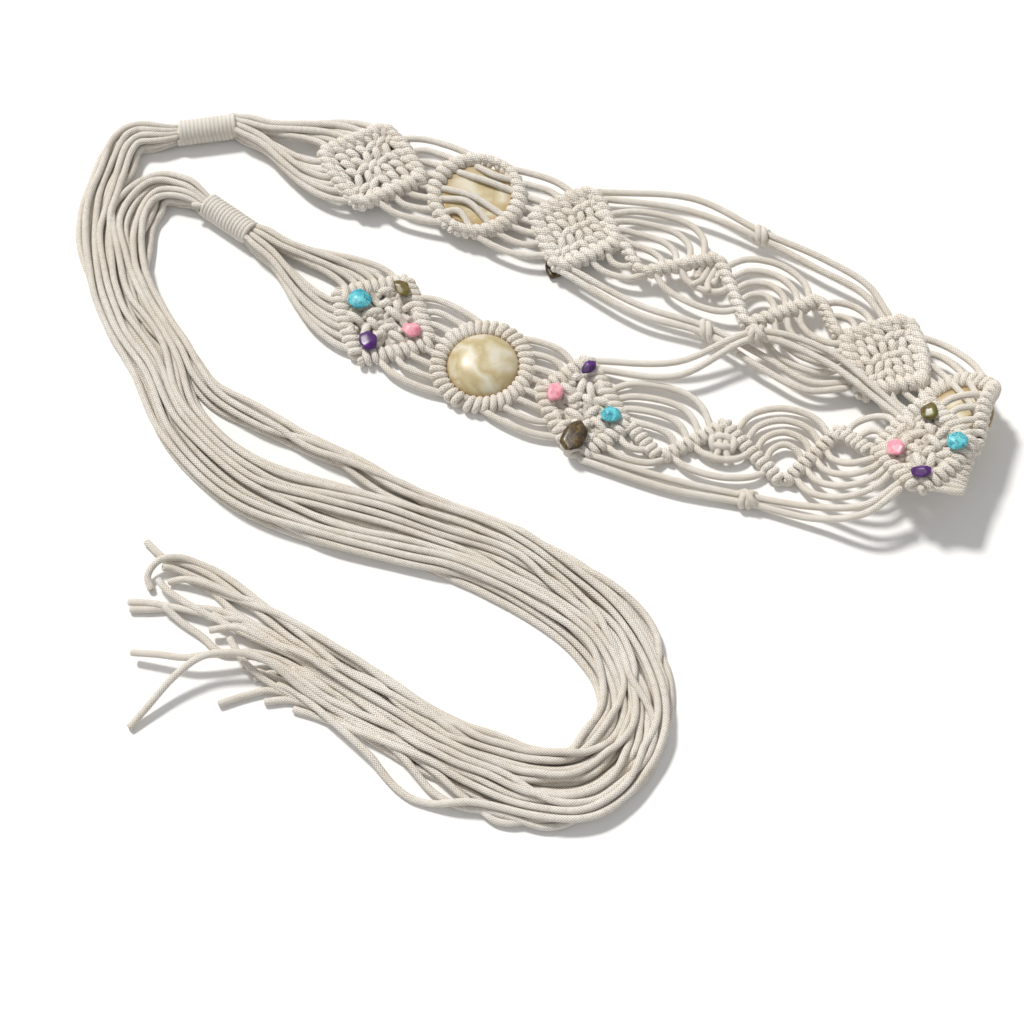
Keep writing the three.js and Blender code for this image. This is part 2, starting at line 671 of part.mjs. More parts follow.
// An oval stone: a flat back, a short upright rim and a low dome, as shares of its radius and height
const ovalProfile = [
  { out: 0, up: 0 },
  { out: 0.9, up: 0 },
  { out: 1, up: 0.18 },
  { out: 0.86, up: 0.56 },
  { out: 0.52, up: 0.85 },
  { out: 0, up: 1 },
];
const ovalSides = 16;

function ovalGeometry(u, grow) {
  const profile = ovalProfile.map(({ out, up }) => new THREE.Vector2(out, up * ovalHeight - ovalSink));
  const dome = new THREE.LatheGeometry(profile, ovalSides);
  dome.rotateX(Math.PI / 2);
  dome.scale(ovalLength / 2 + grow, ovalWidth / 2 + grow, 1 + (2 * grow) / ovalHeight);
  dome.deleteAttribute("uv");
  dome.deleteAttribute("normal");
  const merged = mergeVertices(dome, mergeReach);
  return merged.applyMatrix4(frameAt(u, 0, 0));
}

function addOval(name, u) {
  const geometry = ovalGeometry(u, 0);
  geometry.computeVertexNormals();
  addMesh(name, geometry, "oval", stoneRoughness);
}

// The surface that the belt lies on trims what would sink into it, and so makes flat undersides
const floorReach = 900;
const floor = solidOf(
  new THREE.BoxGeometry(floorReach, floorReach, floorReach).translate(0, 0, -floorReach / 2),
);

function addCordPiece(name, solid) {
  addMesh(name, geometryOf(solid.subtract(floor)), "cord", cordRoughness);
}

// The wraps: round whippings that run on from the ends of the band and rest on the surface
function wrapPlace(halfName, reach, height) {
  const half = halves[halfName];
  const end = place(half.along(0), 0, 0).setZ(0);
  const away = place(half.along(-1), 0, 0).setZ(0).sub(end).normalize();
  away.applyAxisAngle(new THREE.Vector3(0, 0, 1), THREE.MathUtils.degToRad(wrapTurns[halfName]));
  return end.addScaledVector(away, reach).setZ(height);
}

function wrapSolid(halfName, grow) {
  const ends = [-grow, wrapLength / 2, wrapLength + grow];
  const axis = ends.map((reach) => wrapPlace(halfName, reach, wrapDiameter / 2));
  return solidOf(tube(axis, wrapDiameter / 2 + grow, wrapSides, ends.length - 1));
}

for (const [halfName, half] of Object.entries(halves)) {
  const m = half.marks;
  const grown = {
    first: diamondSlab(half, m.firstStart, m.firstEnd, seatGap),
    third: diamondSlab(half, m.thirdStart, m.thirdEnd, seatGap),
    fourth: diamondSlab(half, m.fourthStart, m.fourthEnd, seatGap),
    ring: ringTube(half, m.ringMiddle, barRadius + seatGap),
    middleRing: ringTube(half, m.middle, barRadius + seatGap),
  };
  const first = diamondSlab(half, m.firstStart, m.firstEnd);
  const third = diamondSlab(half, m.thirdStart, m.thirdEnd);
  const fourth = diamondSlab(half, m.fourthStart, m.fourthEnd);
  const edge = {
    first: { middle: m.firstMiddle, outline: motifs.diamond(firstDiamondLength) },
    ring: { middle: m.ringMiddle, outline: motifs.ring() },
    third: { middle: m.thirdMiddle, outline: motifs.diamond(thirdDiamondLength) },
    fourth: { middle: m.fourthMiddle, outline: motifs.diamond(fourthDiamondLength) },
    middleRing: { middle: m.middle, outline: motifs.ring() },
  };
  const firstArcs = join(nestedArcs(half, edge.first, edge.ring)).subtract(grown.ring);
  const thirdArcs = join(nestedArcs(half, edge.ring, edge.third)).subtract(grown.ring);
  const fourthArcs = join(nestedArcs(half, edge.fourth, edge.middleRing)).subtract(grown.middleRing);
  addCordPiece(`diamond_1_${halfName}`, first.add(firstArcs));
  addCordPiece(`diamond_3_${halfName}`, third.add(thirdArcs));
  addCordPiece(`diamond_4_${halfName}`, fourth.add(fourthArcs));
  addCordPiece(`ring_${halfName}`, ringTube(half, m.ringMiddle, barRadius));
  addCordPiece(`wrap_${halfName}`, wrapSolid(halfName, 0));
  addCordPiece(
    `fan_${halfName}`,
    join(fanSolids(half)).subtract(grown.first).subtract(wrapSolid(halfName, seatGap)),
  );
  addCordPiece(
    `lattice_${halfName}`,
    join(latticeSolids(half)).subtract(grown.third).subtract(grown.fourth),
  );
  for (const route of looseRoutes.filter((row) => row.half === halfName)) {
    addCordPiece(
      `loose_${route.name}_${halfName}`,
      join(looseSolids(half, route)).subtract(grown.third).subtract(grown.fourth),
    );
  }
  addOval(`oval_${halfName}`, half.along(m.ringMiddle));
  for (const [diamondName, rows] of Object.entries(chips)) {
    rows.forEach((row) => addChip(halfName, diamondName, row));
  }
}
const foldSeat = solidOf(ovalGeometry(frontMarks.middle, seatGap));
addCordPiece("ring_fold", ringTube(halves.front, frontMarks.middle, barRadius).subtract(foldSeat));
addOval("oval_fold", frontMarks.middle);

// The route of one tie bundle: the middle line moved sideways by its lane
function tiePoints(bundle) {
  const leaving = [seatGap, tieBundleDiameter].map((reach) => wrapPlace(bundle.wrap, wrapLength + reach, 0));
  const turning = tieStarts[bundle.wrap].map(([x, y]) => ({ x, y }));
  const start = [...leaving, ...turning].map(({ x, y }) => ({ x, y, beside: bundle.besideWrap }));
  const shared = tieRoute.map((row) => ({ x: row.x, y: row.y, beside: row.lanes[bundle.lane] }));
  const rows = [...start, ...shared];
  return rows.map((row, i) => {
    const before = rows[Math.max(i - 1, 0)];
    const after = rows[Math.min(i + 1, rows.length - 1)];
    const along = new THREE.Vector2(after.x - before.x, after.y - before.y).normalize();
    const aside = row.beside * tiePitch;
    return new THREE.Vector3(row.x - along.y * aside, row.y + along.x * aside, tieRadius);
  });
}
for (const bundle of tieBundles) {
  addCordPiece(bundle.name, solidOf(tube(tiePoints(bundle), tieRadius, tieSides, tieSteps)));
}

// The origin lies under the middle of the belt without its ties
const box = new THREE.Box3();
for (const mesh of group.children.filter((child) => !child.name.startsWith("tie_"))) {
  box.expandByObject(mesh);
}
const centre = box.getCenter(new THREE.Vector3());
group.position.set(-centre.x, -centre.y, -box.min.z);

export default group;
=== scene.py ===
"""A macrame tie belt of braided cotton cord, set with stones, folded in half on a pale floor.

Shapes are worked out in millimetres on the band's own chart, u along it, v across it and w out of its
front face, and moved into the frame last. Each cord is a path with a round section carried along it.
"""

import bpy
import numpy as np
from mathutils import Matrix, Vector


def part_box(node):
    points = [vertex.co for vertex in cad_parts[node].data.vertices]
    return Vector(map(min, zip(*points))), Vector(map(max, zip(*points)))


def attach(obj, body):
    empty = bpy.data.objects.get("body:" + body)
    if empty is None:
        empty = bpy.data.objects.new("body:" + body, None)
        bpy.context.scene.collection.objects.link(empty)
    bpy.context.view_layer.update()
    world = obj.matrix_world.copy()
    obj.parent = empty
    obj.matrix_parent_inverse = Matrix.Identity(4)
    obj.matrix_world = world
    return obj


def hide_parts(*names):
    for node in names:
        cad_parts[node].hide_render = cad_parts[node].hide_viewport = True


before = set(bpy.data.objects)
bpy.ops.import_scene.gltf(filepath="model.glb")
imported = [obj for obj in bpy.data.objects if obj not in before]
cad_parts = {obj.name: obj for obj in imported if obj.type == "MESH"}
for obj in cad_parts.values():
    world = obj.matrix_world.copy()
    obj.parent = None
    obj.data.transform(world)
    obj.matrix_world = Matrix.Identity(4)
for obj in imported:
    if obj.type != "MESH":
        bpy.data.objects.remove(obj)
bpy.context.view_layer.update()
MM = 0.001

# Sizes of the belt, in millimetres
CORD_DIAMETER = 3.6
CORD = CORD_DIAMETER / 2
BAR_DIAMETER = 8.0
BAR = BAR_DIAMETER / 2
SEAT_GAP = 0.3
BAND_WIDTH = 60.0
HALF_WIDTH = BAND_WIDTH / 2
FAN_LENGTH = {"front": 54.0, "back": 47.0}
FIRST_LENGTH = 65.0
THIRD_LENGTH = 54.0
FOURTH_LENGTH = 54.0
LATTICE_LENGTH = 123.0
RING_SPACER = 3.0
WRAP_LENGTH = 34.0
WRAP_DIAMETER = 14.0
NECK_LENGTH = 5.0
FAN_CORDS = 12
OVAL_LENGTH = 37.0
OVAL_WIDTH = 38.0
OVAL_HEIGHT = 9.0
OVAL_SINK = 1.0
CHIP_HEIGHT = 4.2
PRESSED_FLAT = 0.1
FRONT_LIFT = BAR - PRESSED_FLAT
BACK_LIFT = BAR + SEAT_GAP + CHIP_HEIGHT + PRESSED_FLAT
FOLD_DROP = 22.4
CLIMB_LENGTH = 80.0
UPPER_BEND = 5.5
LOWER_BEND = 10.0
FOLD_TURN = np.radians(152)
CREASE_HEADING = np.radians(-20)
CREASE_BEFORE_RING = 6.0
BAND_START = np.array([-137.0, 162.0])
RING_LENGTH = OVAL_LENGTH + 2 * (SEAT_GAP + BAR_DIAMETER)
RING_WIDTH = OVAL_WIDTH + 2 * (SEAT_GAP + BAR_DIAMETER)

UP = np.array([0.0, 0.0, 1.0])
rng = np.random.default_rng(7)


def marks_of(fan_length):
    """Where the motifs of a half start, end and have their middle, from the end of its own wrap: the running
    sum of their lengths."""
    lengths = {
        "first_start": fan_length,
        "first_end": FIRST_LENGTH,
        "ring_end": RING_LENGTH,
        "third_start": RING_SPACER,
        "third_end": THIRD_LENGTH,
        "fourth_start": LATTICE_LENGTH,
        "fourth_end": FOURTH_LENGTH,
        "middle": RING_LENGTH / 2,
    }
    marks = dict(zip(lengths, np.cumsum(list(lengths.values()))))
    marks.update(wrap=0.0, ring_start=marks["first_end"])
    marks.update(lattice_start=marks["third_end"], lattice_end=marks["fourth_start"])
    for name in ("first", "ring", "third", "lattice", "fourth"):
        marks[name + "_middle"] = (marks[name + "_start"] + marks[name + "_end"]) / 2
    return marks


MARKS = {half: marks_of(length) for half, length in FAN_LENGTH.items()}
BAND_LENGTH = MARKS["front"]["middle"] + MARKS["back"]["middle"]
FACE = {"front": 1, "back": -1}  # whether the front face of a half's knots looks up


def along(half, x):
    """The band's u of a distance x from the half's own wrap."""
    return x if half == "front" else BAND_LENGTH - x


# How the band lies unfolded: which way it heads, in degrees, and how far it is pulled askew, as a length
# along for each length across
LIE = [
    ("front", "wrap", -38, 0),
    ("front", "first_start", -36, 0),
    ("front", "first_middle", -33, -0.12),
    ("front", "first_end", -28.1, 0),
    ("front", "ring_middle", -24, 0),
    ("front", "ring_end", -25.9, 0),
    ("front", "third_middle", -28, -0.42),
    ("front", "third_end", -21, -0.3),
    ("front", "lattice_middle", -5, 0),
    ("front", "fourth_middle", -9, 0),
    ("front", "middle", 30, 0),
    ("back", "fourth_middle", -10, 0),
    ("back", "lattice_middle", -12, 0),
    ("back", "third_middle", -19, 0),
    ("back", "ring_middle", -16, 0),
    ("back", "first_middle", -26, 0),
    ("back", "first_start", -18, 0),
    ("back", "wrap", -16, 0),
]
LIE_AT = np.array([along(half, MARKS[half][mark]) for half, mark, _, _ in LIE])
HEADING = np.radians([heading for _, _, heading, _ in LIE])
SLANT = np.array([slant for _, _, _, slant in LIE])
SPINE_REACH = 80
SPINE_U = np.arange(-SPINE_REACH, BAND_LENGTH + SPINE_REACH, 1.0)


def heading_at(u):
    """The band's heading in radians, linear between the rows of the table."""
    return np.interp(u, LIE_AT, HEADING)


def spine_line():
    """The middle line: the running sum of unit steps along the heading at the middle of each step."""
    angle = heading_at(SPINE_U[:-1] + 0.5)
    steps = np.stack([np.cos(angle), np.sin(angle)], axis=-1)
    line = np.vstack([[0, 0], np.cumsum(steps, axis=0)])
    return line - line[SPINE_REACH] + BAND_START


SPINE = spine_line()


def spine_at(u):
    """A place on the middle line, linear between its points."""
    return np.stack([np.interp(u, SPINE_U, SPINE[:, i]) for i in range(2)], axis=-1)


REST_TURN = np.pi - FOLD_TURN
UPPER_DROP = UPPER_BEND * (1 - np.cos(FOLD_TURN))
LOWER_DROP = LOWER_BEND * (1 - np.cos(REST_TURN))
SLOPE_LENGTH = (FOLD_DROP - UPPER_DROP - LOWER_DROP) / np.sin(FOLD_TURN)
UPPER_ARC = UPPER_BEND * FOLD_TURN
LOWER_ARC = LOWER_BEND * REST_TURN
CREASE_NORMAL = np.array([np.cos(CREASE_HEADING), np.sin(CREASE_HEADING)])
CREASE_AXIS = np.array([-CREASE_NORMAL[1], CREASE_NORMAL[0]])
CREASE_POINT = spine_at(MARKS["front"]["fourth_end"] - CREASE_BEFORE_RING)
CLIMB = BACK_LIFT + FOLD_DROP - FRONT_LIFT


def place(u, v, w):
    """Places of the band in millimetres. The flat place (spine plus v across and slant * v along) is
    measured from the crease. Before it the band climbs as t*t*(3-2t). Past it the band turns an upper bend,
    runs down a straight slope, turns a lower bend and runs back flat. w is laid off along the turned
    normal."""
    u, v, w = np.broadcast_arrays(*[np.asarray(value, float) for value in (u, v, w)])
    heading = heading_at(u)
    slant = np.interp(u, LIE_AT, SLANT)
    across = np.stack(
        [slant * np.cos(heading) - np.sin(heading), slant * np.sin(heading) + np.cos(heading)], axis=-1
    )
    flat = spine_at(u) + across * v[..., None] - CREASE_POINT
    s = flat @ CREASE_NORMAL
    t = np.clip(1 + s / CLIMB_LENGTH, 0, 1)
    upper = np.clip(s / UPPER_BEND, 0, FOLD_TURN)
    slope = np.clip(s - UPPER_ARC, 0, SLOPE_LENGTH)
    lower = np.clip((s - UPPER_ARC - SLOPE_LENGTH) / LOWER_BEND, 0, REST_TURN)
    tail = np.maximum(s - UPPER_ARC - SLOPE_LENGTH - LOWER_ARC, 0)
    shortening = CLIMB**2 / CLIMB_LENGTH * (6 * t**3 - 9 * t**4 + 3.6 * t**5)
    reach = np.minimum(s, 0) - shortening - tail + UPPER_BEND * np.sin(upper) + slope * np.cos(FOLD_TURN)
    reach = reach + LOWER_BEND * (np.sin(FOLD_TURN + lower) - np.sin(FOLD_TURN))
    height = FRONT_LIFT + CLIMB * t * t * (3 - 2 * t) - UPPER_BEND * (1 - np.cos(upper))
    height = height - slope * np.sin(FOLD_TURN)
    height = height - LOWER_BEND * (np.cos(FOLD_TURN) - np.cos(FOLD_TURN + lower))
    turn = upper + lower
    plan = CREASE_POINT + (reach + w * np.sin(turn))[..., None] * CREASE_NORMAL
    plan = plan + (flat @ CREASE_AXIS)[..., None] * CREASE_AXIS
    return np.concatenate([plan, (height + w * np.cos(turn))[..., None]], axis=-1)


def unit(vectors):
    """Vectors of length one."""
    return vectors / np.linalg.norm(vectors, axis=-1, keepdims=True)


def axes_at(u, v, w):
    """The band's own directions at a place: along it, across it and out of its front face."""
    ahead = unit(place(u + 1, v, w) - place(u - 1, v, w))
    aside = unit(place(u, v + 1, w) - place(u, v - 1, w))
    out = unit(np.cross(ahead, aside))
    return ahead, np.cross(out, ahead), out


WRAP_TURNS = {"front": 0.0, "back": np.radians(33)}


def wrap_place(half, reach, height):
    """A place beyond the end of the band, where the wrap runs on along a line of its own."""
    end = place(along(half, 0), 0, 0)
    away = place(along(half, -1), 0, 0) - end
    angle = np.arctan2(away[1], away[0]) + WRAP_TURNS[half]
    return np.array([end[0] + reach * np.cos(angle), end[1] + reach * np.sin(angle), height])


def frame_shift():
    """What moves the chart's millimetres into the frame: a wrap is alike from both ends, so the middle of
    its box is the middle of its axis."""
    low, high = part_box("wrap_front")
    middle = np.array((low + high) / 2) / MM
    return middle - wrap_place("front", WRAP_LENGTH / 2, WRAP_DIAMETER / 2)


SHIFT = frame_shift()


def to_frame(points):
    """Millimetres of the chart as metres of the frame."""
    return (np.asarray(points) + SHIFT) * MM


# Paths


def spline(points, per=8):
    """A centripetal Catmull-Rom curve through points: between two of them the cubic whose end slopes come
    from the neighbours, with the square roots of the distances as the curve's clock."""
    points = np.asarray(points, float)
    padded = np.vstack([2 * points[0] - points[1], points, 2 * points[-1] - points[-2]])
    a, b, c, d = padded[:-3], padded[1:-2], padded[2:-1], padded[3:]
    clock = [np.sqrt(np.linalg.norm(q - p, axis=-1, keepdims=True)) for p, q in ((a, b), (b, c), (c, d))]
    before, here, after = [np.maximum(value, 1e-6) for value in clock]
    leave = ((b - a) / before - (c - a) / (before + here) + (c - b) / here) * here
    arrive = ((c - b) / here - (d - b) / (here + after) + (d - c) / after) * here
    t = np.linspace(0, 1, per, endpoint=False)[None, :, None]
    b, c, leave, arrive = [value[:, None, :] for value in (b, c, leave, arrive)]
    body = (
        (2 * t**3 - 3 * t**2 + 1) * b + (t**3 - 2 * t**2 + t) * leave
        + (3 * t**2 - 2 * t**3) * c + (t**3 - t**2) * arrive
    )
    return np.vstack([body.reshape(-1, points.shape[1]), points[-1:]])


def lengths_along(path):
    """The distance along a path at each of its points."""
    return np.concatenate([[0], np.cumsum(np.linalg.norm(np.diff(path, axis=0), axis=-1))])


def even(path, step):
    """The path again with its points evenly spaced, about one step apart."""
    at = lengths_along(path)
    count = max(int(round(at[-1] / step)), 3)
    fresh = np.linspace(0, at[-1], count + 1)
    return np.stack([np.interp(fresh, at, path[:, i]) for i in range(path.shape[1])], axis=-1)


# Surfaces

CORD_SIDES = 10
CUT_END = ((0.35, 0.86), (0.15, 0.5), (-2.5, 0.42))
ROUND_END = ((0.6, 0.75), (0.9, 0.35))


def ring_axes(path):
    """Two directions square to a path that turn with it but don't spin: a fixed axis is laid square to the
    path at each point, and what it spins from each point to the next is summed and taken back."""
    ahead = unit(np.gradient(path, axis=0))
    fixed = np.eye(3)[np.argmin(np.abs(ahead), axis=-1)]
    a = unit(np.cross(ahead, fixed))
    b = np.cross(ahead, a)
    carried = a[:-1] - np.sum(a[:-1] * ahead[1:], axis=-1, keepdims=True) * ahead[1:]
    spin = np.arctan2(np.sum(carried * b[1:], axis=-1), np.sum(carried * a[1:], axis=-1))
    turned = np.concatenate([[0], np.cumsum(spin)])[:, None]
    return ahead, a * np.cos(turned) + b * np.sin(turned), b * np.cos(turned) - a * np.sin(turned)


def tube(path, radius=CORD, sides=CORD_SIDES, start=ROUND_END, end=ROUND_END, before=0.0):
    """A round section carried along a path: centre + radius * (a cos angle + b sin angle). Each row of
    start and end adds a ring past that end, as its reach and radius in shares of the cord's radius."""
    path = np.asarray(path, float)
    ahead, a, b = ring_axes(path)
    radius = np.broadcast_to(np.asarray(radius, float), len(path))
    rows = np.arange(len(path))
    centre, size, pick, at = [path], [radius], [rows], [before + lengths_along(path)]
    for reach, share in end:
        centre.append(path[-1:] + ahead[-1:] * reach * radius[-1])
        size.append(radius[-1:] * share)
        pick.append(rows[-1:])
        at.append(at[0][-1:] + reach * radius[-1])
    for reach, share in start:
        centre.insert(0, path[:1] - ahead[:1] * reach * radius[0])
        size.insert(0, radius[:1] * share)
        pick.insert(0, rows[:1])
        at.insert(0, np.array([before - reach * radius[0]]))
    pick = np.concatenate(pick)
    angle = np.linspace(0, 2 * np.pi, sides, endpoint=False)
    spokes = a[pick][:, None] * np.cos(angle)[:, None] + b[pick][:, None] * np.sin(angle)[:, None]
    points = np.concatenate(centre)[:, None] + spokes * np.concatenate(size)[:, None, None]
    return {"points": points, "along": np.concatenate(at)}


def coil(carrier, across, out, turns, reach, rise, lean=0.0, per_turn=14, drift=0.85, hand=1, square=2.0):
    """A cord wound round a carrier: carrier + reach * across * cos t + rise * out * hand * sin t, both over
    the power sum of the two to square it. It moves on along the carrier at the back of each turn and
    hardly at the front, by t + hand * drift * cos t, and lean slants the front by that many lengths along
    for each length across."""
    angle = np.linspace(0, 2 * np.pi * turns, int(turns * per_turn) + 1)
    at = lengths_along(carrier)
    share = (angle + hand * drift * (np.cos(angle) - 1)) / (2 * np.pi)
    middle = share / turns * at[-1]
    slant = np.interp(middle, at, np.broadcast_to(lean, len(at)))
    middle = np.clip(middle + slant * reach * np.cos(angle), 0, at[-1])
    fill = (np.abs(np.cos(angle)) ** square + np.abs(np.sin(angle)) ** square) ** (-1 / square)

    def follow(rows):
        return np.stack([np.interp(middle, at, rows[:, i]) for i in range(3)], axis=-1)

    beside = unit(follow(across)) * (reach * fill * np.cos(angle))[:, None]
    above = unit(follow(out)) * (rise * hand * fill * np.sin(angle))[:, None]
    return follow(carrier) + beside + above


# Meshes
FLOOR_LEVEL = 0.05  # what would reach lower is pressed flat there


def make_mesh(name, surfaces):
    """One object from surfaces, each a grid of rings closed by a flat face at both ends. Its UV map holds
    the share around a ring and the distance along in millimetres."""
    points, corners, sizes, smooth, maps = [], [], [], [], []
    offset = 0
    for surface in surfaces:
        rows, sides = surface["points"].shape[:2]
        grid = offset + np.arange(rows * sides).reshape(rows, sides)
        beside = np.roll(grid, -1, axis=1)
        quads = np.stack([grid[:-1], beside[:-1], beside[1:], grid[1:]], axis=-1)
        around = np.arange(sides + 1) / sides
        row = surface["along"]
        u, v = np.broadcast_arrays(
            np.stack([around[:-1], around[1:], around[1:], around[:-1]], axis=-1),
            np.stack([row[:-1], row[:-1], row[1:], row[1:]], axis=-1)[:, None],
        )
        points.append(surface["points"].reshape(-1, 3))
        points[-1][:, 2] = np.maximum(points[-1][:, 2], FLOOR_LEVEL)
        corners += [quads.ravel(), grid[0, ::-1], grid[-1]]
        caps = np.stack([np.tile(around[:-1], 2), np.repeat(row[[0, -1]], sides)], axis=-1)
        maps += [np.stack([u, v], axis=-1).reshape(-1, 2), caps]
        sizes.append(np.concatenate([np.full((rows - 1) * sides, 4), [sides, sides]]))
        smooth.append(np.concatenate([np.full((rows - 1) * sides, True), [False, False]]))
        offset += rows * sides
    return fill_mesh(name, *[np.concatenate(rows) for rows in (points, corners, sizes, smooth, maps)])


def fill_mesh(name, points, corners, sizes, smooth, maps):
    """A mesh object from whole arrays of places, face corners, face sizes and UV places."""
    mesh = bpy.data.meshes.new(name)
    mesh.vertices.add(len(points))
    mesh.vertices.foreach_set("co", to_frame(points).astype(np.float32).ravel())
    mesh.loops.add(len(corners))
    mesh.loops.foreach_set("vertex_index", corners.astype(np.int32))
    mesh.polygons.add(len(sizes))
    starts = np.concatenate([[0], np.cumsum(sizes)[:-1]])
    mesh.polygons.foreach_set("loop_start", starts.astype(np.int32))
    mesh.polygons.foreach_set("use_smooth", smooth)
    mesh.uv_layers.new(name="lay").data.foreach_set("uv", maps.astype(np.float32).ravel())
    mesh.update(calc_edges=True)
    mesh.validate()
    piece = bpy.data.objects.new(name, mesh)
    bpy.context.collection.objects.link(piece)
    return piece


def stone_mesh(name, points):
    """One object from a grid of places on a closed rounded form: rings between two pole points."""
    rows, sides = points.shape[:2]
    around = np.linspace(0, 1, rows)
    return make_mesh(name, [{"points": points, "along": around * sides}])


# Finishes


def colour(code):
    """A colour in linear light from its six sRGB digits."""
    share = np.array([int(code[i : i + 2], 16) for i in (0, 2, 4)]) / 255
    linear = np.where(share <= 0.04045, share / 12.92, ((share + 0.055) / 1.055) ** 2.4)
    return (*linear, 1.0)


class Number:
    """A number that changes over a surface: Python's operators add the Math nodes."""

    def __init__(self, finish, socket):
        self.finish = finish
        self.socket = socket

    def maths(self, operation, *values):
        sockets = dict(enumerate(values))
        return Number(self.finish, self.finish.node("Math", {"operation": operation}, sockets).outputs[0])

    def __add__(self, other):
        return self.maths("ADD", self, other)

    __radd__ = __add__

    def __sub__(self, other):
        return self.maths("SUBTRACT", self, other)

    def __rsub__(self, other):
        return self.maths("SUBTRACT", other, self)

    def __mul__(self, other):
        return self.maths("MULTIPLY", self, other)

    __rmul__ = __mul__

    def __mod__(self, other):
        return self.maths("FLOORED_MODULO", self, other)

    def sine(self):
        return self.maths("SINE", self)

    def whole(self):
        return self.maths("FLOOR", self)

    def size(self):
        return self.maths("ABSOLUTE", self)

    def within(self, low, high):
        """0 below low, 1 above high and smooth between."""
        limits = {"Value": self, "From Min": low, "From Max": high}
        made = self.finish.node("MapRange", {"interpolation_type": "SMOOTHSTEP"}, limits)
        return Number(self.finish, made.outputs["Result"])


class Finish:
    """One material: its Principled shader and the nodes that feed it."""

    def __init__(self, name, settings):
        self.material = bpy.data.materials.new(name)
        self.material.use_nodes = True
        self.tree = self.material.node_tree
        self.shader = self.tree.nodes["Principled BSDF"]
        for socket, value in settings.items():
            self.shader.inputs[socket].default_value = value

    def feed(self, socket, value):
        """A socket takes a link or a plain value."""
        if isinstance(value, Number):
            value = value.socket
        if isinstance(value, bpy.types.NodeSocket):
            self.tree.links.new(value, socket)
        else:
            socket.default_value = value

    def node(self, kind, settings, sockets):
        """Any node, from its type, its settings and what its sockets take."""
        made = self.tree.nodes.new("ShaderNode" + kind)
        for name, value in settings.items():
            if name == "stops":
                ramp_stops(made.color_ramp, value)
            else:
                setattr(made, name, value)
        for key, value in sockets.items():
            self.feed(made.inputs[key], value)
        return made

    def place_on(self):
        return self.node("TexCoord", {}, {}).outputs["Object"]

    def noise(self, scale, detail, rough=0.5, twist=0.0):
        sockets = {"Scale": scale, "Detail": detail, "Roughness": rough, "Distortion": twist}
        return Number(self, self.node("TexNoise", {}, {"Vector": self.place_on(), **sockets}).outputs[0])

    def lay(self):
        """The piece's own map: the share around the cord and the millimetres along it."""
        split = self.node("SeparateXYZ", {}, {"Vector": self.node("UVMap", {"uv_map": "lay"}, {}).outputs[0]})
        return Number(self, split.outputs[0]), Number(self, split.outputs[1])

    def mix(self, share, first, second):
        return self.node("Mix", {"data_type": "RGBA"}, {0: share, 6: first, 7: second}).outputs[2]

    def ramp(self, share, stops):
        return self.node("ValToRGB", {"stops": stops}, {"Fac": share}).outputs[0]

    def relief(self, height, depth):
        """A bump of so many millimetres."""
        return self.node("Bump", {}, {"Height": height, "Distance": depth * MM, "Strength": 1.0}).outputs[0]

    def paint(self, **sockets):
        for name, value in sockets.items():
            self.feed(self.shader.inputs[name.replace("_", " ")], value)
        return self.material


def ramp_stops(ramp, stops):
    """Sets a colour ramp's stops, given as (position, colour)."""
    while len(ramp.elements) > 1:
        ramp.elements.remove(ramp.elements[-1])
    ramp.elements[0].position, ramp.elements[0].color = stops[0]
    for position, tone in stops[1:]:
        ramp.elements.new(position).color = tone


BRAID_STRANDS = 8
BRAID_PITCH = 1.5  # millimetres along the cord from one stitch to the next


def braided_cotton(name, painted_trough_shade):
    """Two families of strands run round the cord both ways, a = 8u + v/pitch and b = 8u - v/pitch. Each
    swells as a half sine across its own width, and the two take turns on top. The low places between the
    strands are painted in darker browns: painted shade."""
    finish = Finish(name, {"Roughness": 0.9, "Sheen Weight": 0.06, "Sheen Roughness": 0.5})
    around, far = finish.lay()
    a = around * BRAID_STRANDS + far * (1 / BRAID_PITCH)
    b = around * BRAID_STRANDS - far * (1 / BRAID_PITCH)
    swell_a = ((a % 1.0) * np.pi).sine()
    swell_b = ((b % 1.0) * np.pi).sine()
    on_top = (a.whole() + b.whole()) % 2.0
    height = on_top * (swell_a * (0.6 + 0.4 * swell_b)) + (1 - on_top) * (swell_b * (0.6 + 0.4 * swell_a))
    fibre = finish.noise(2600.0, 2.0)
    patches = finish.noise(38.0, 3.0, 0.6)
    specks = finish.noise(420.0, 2.0, 0.6)
    light = finish.mix(patches.within(0.35, 0.7), colour("f1eadf"), colour("fbf7f0"))
    # Painted shade: the low places between the strands take the darker crease browns
    dark = finish.mix(specks, colour(painted_trough_shade[0]), colour(painted_trough_shade[1]))
    tone = finish.mix((height * 0.8 + 0.5 * specks).within(0.15, 0.8), dark, light)
    bump = finish.relief(height + 0.3 * fibre, 0.32)
    return finish.paint(Base_Color=tone, Normal=bump)


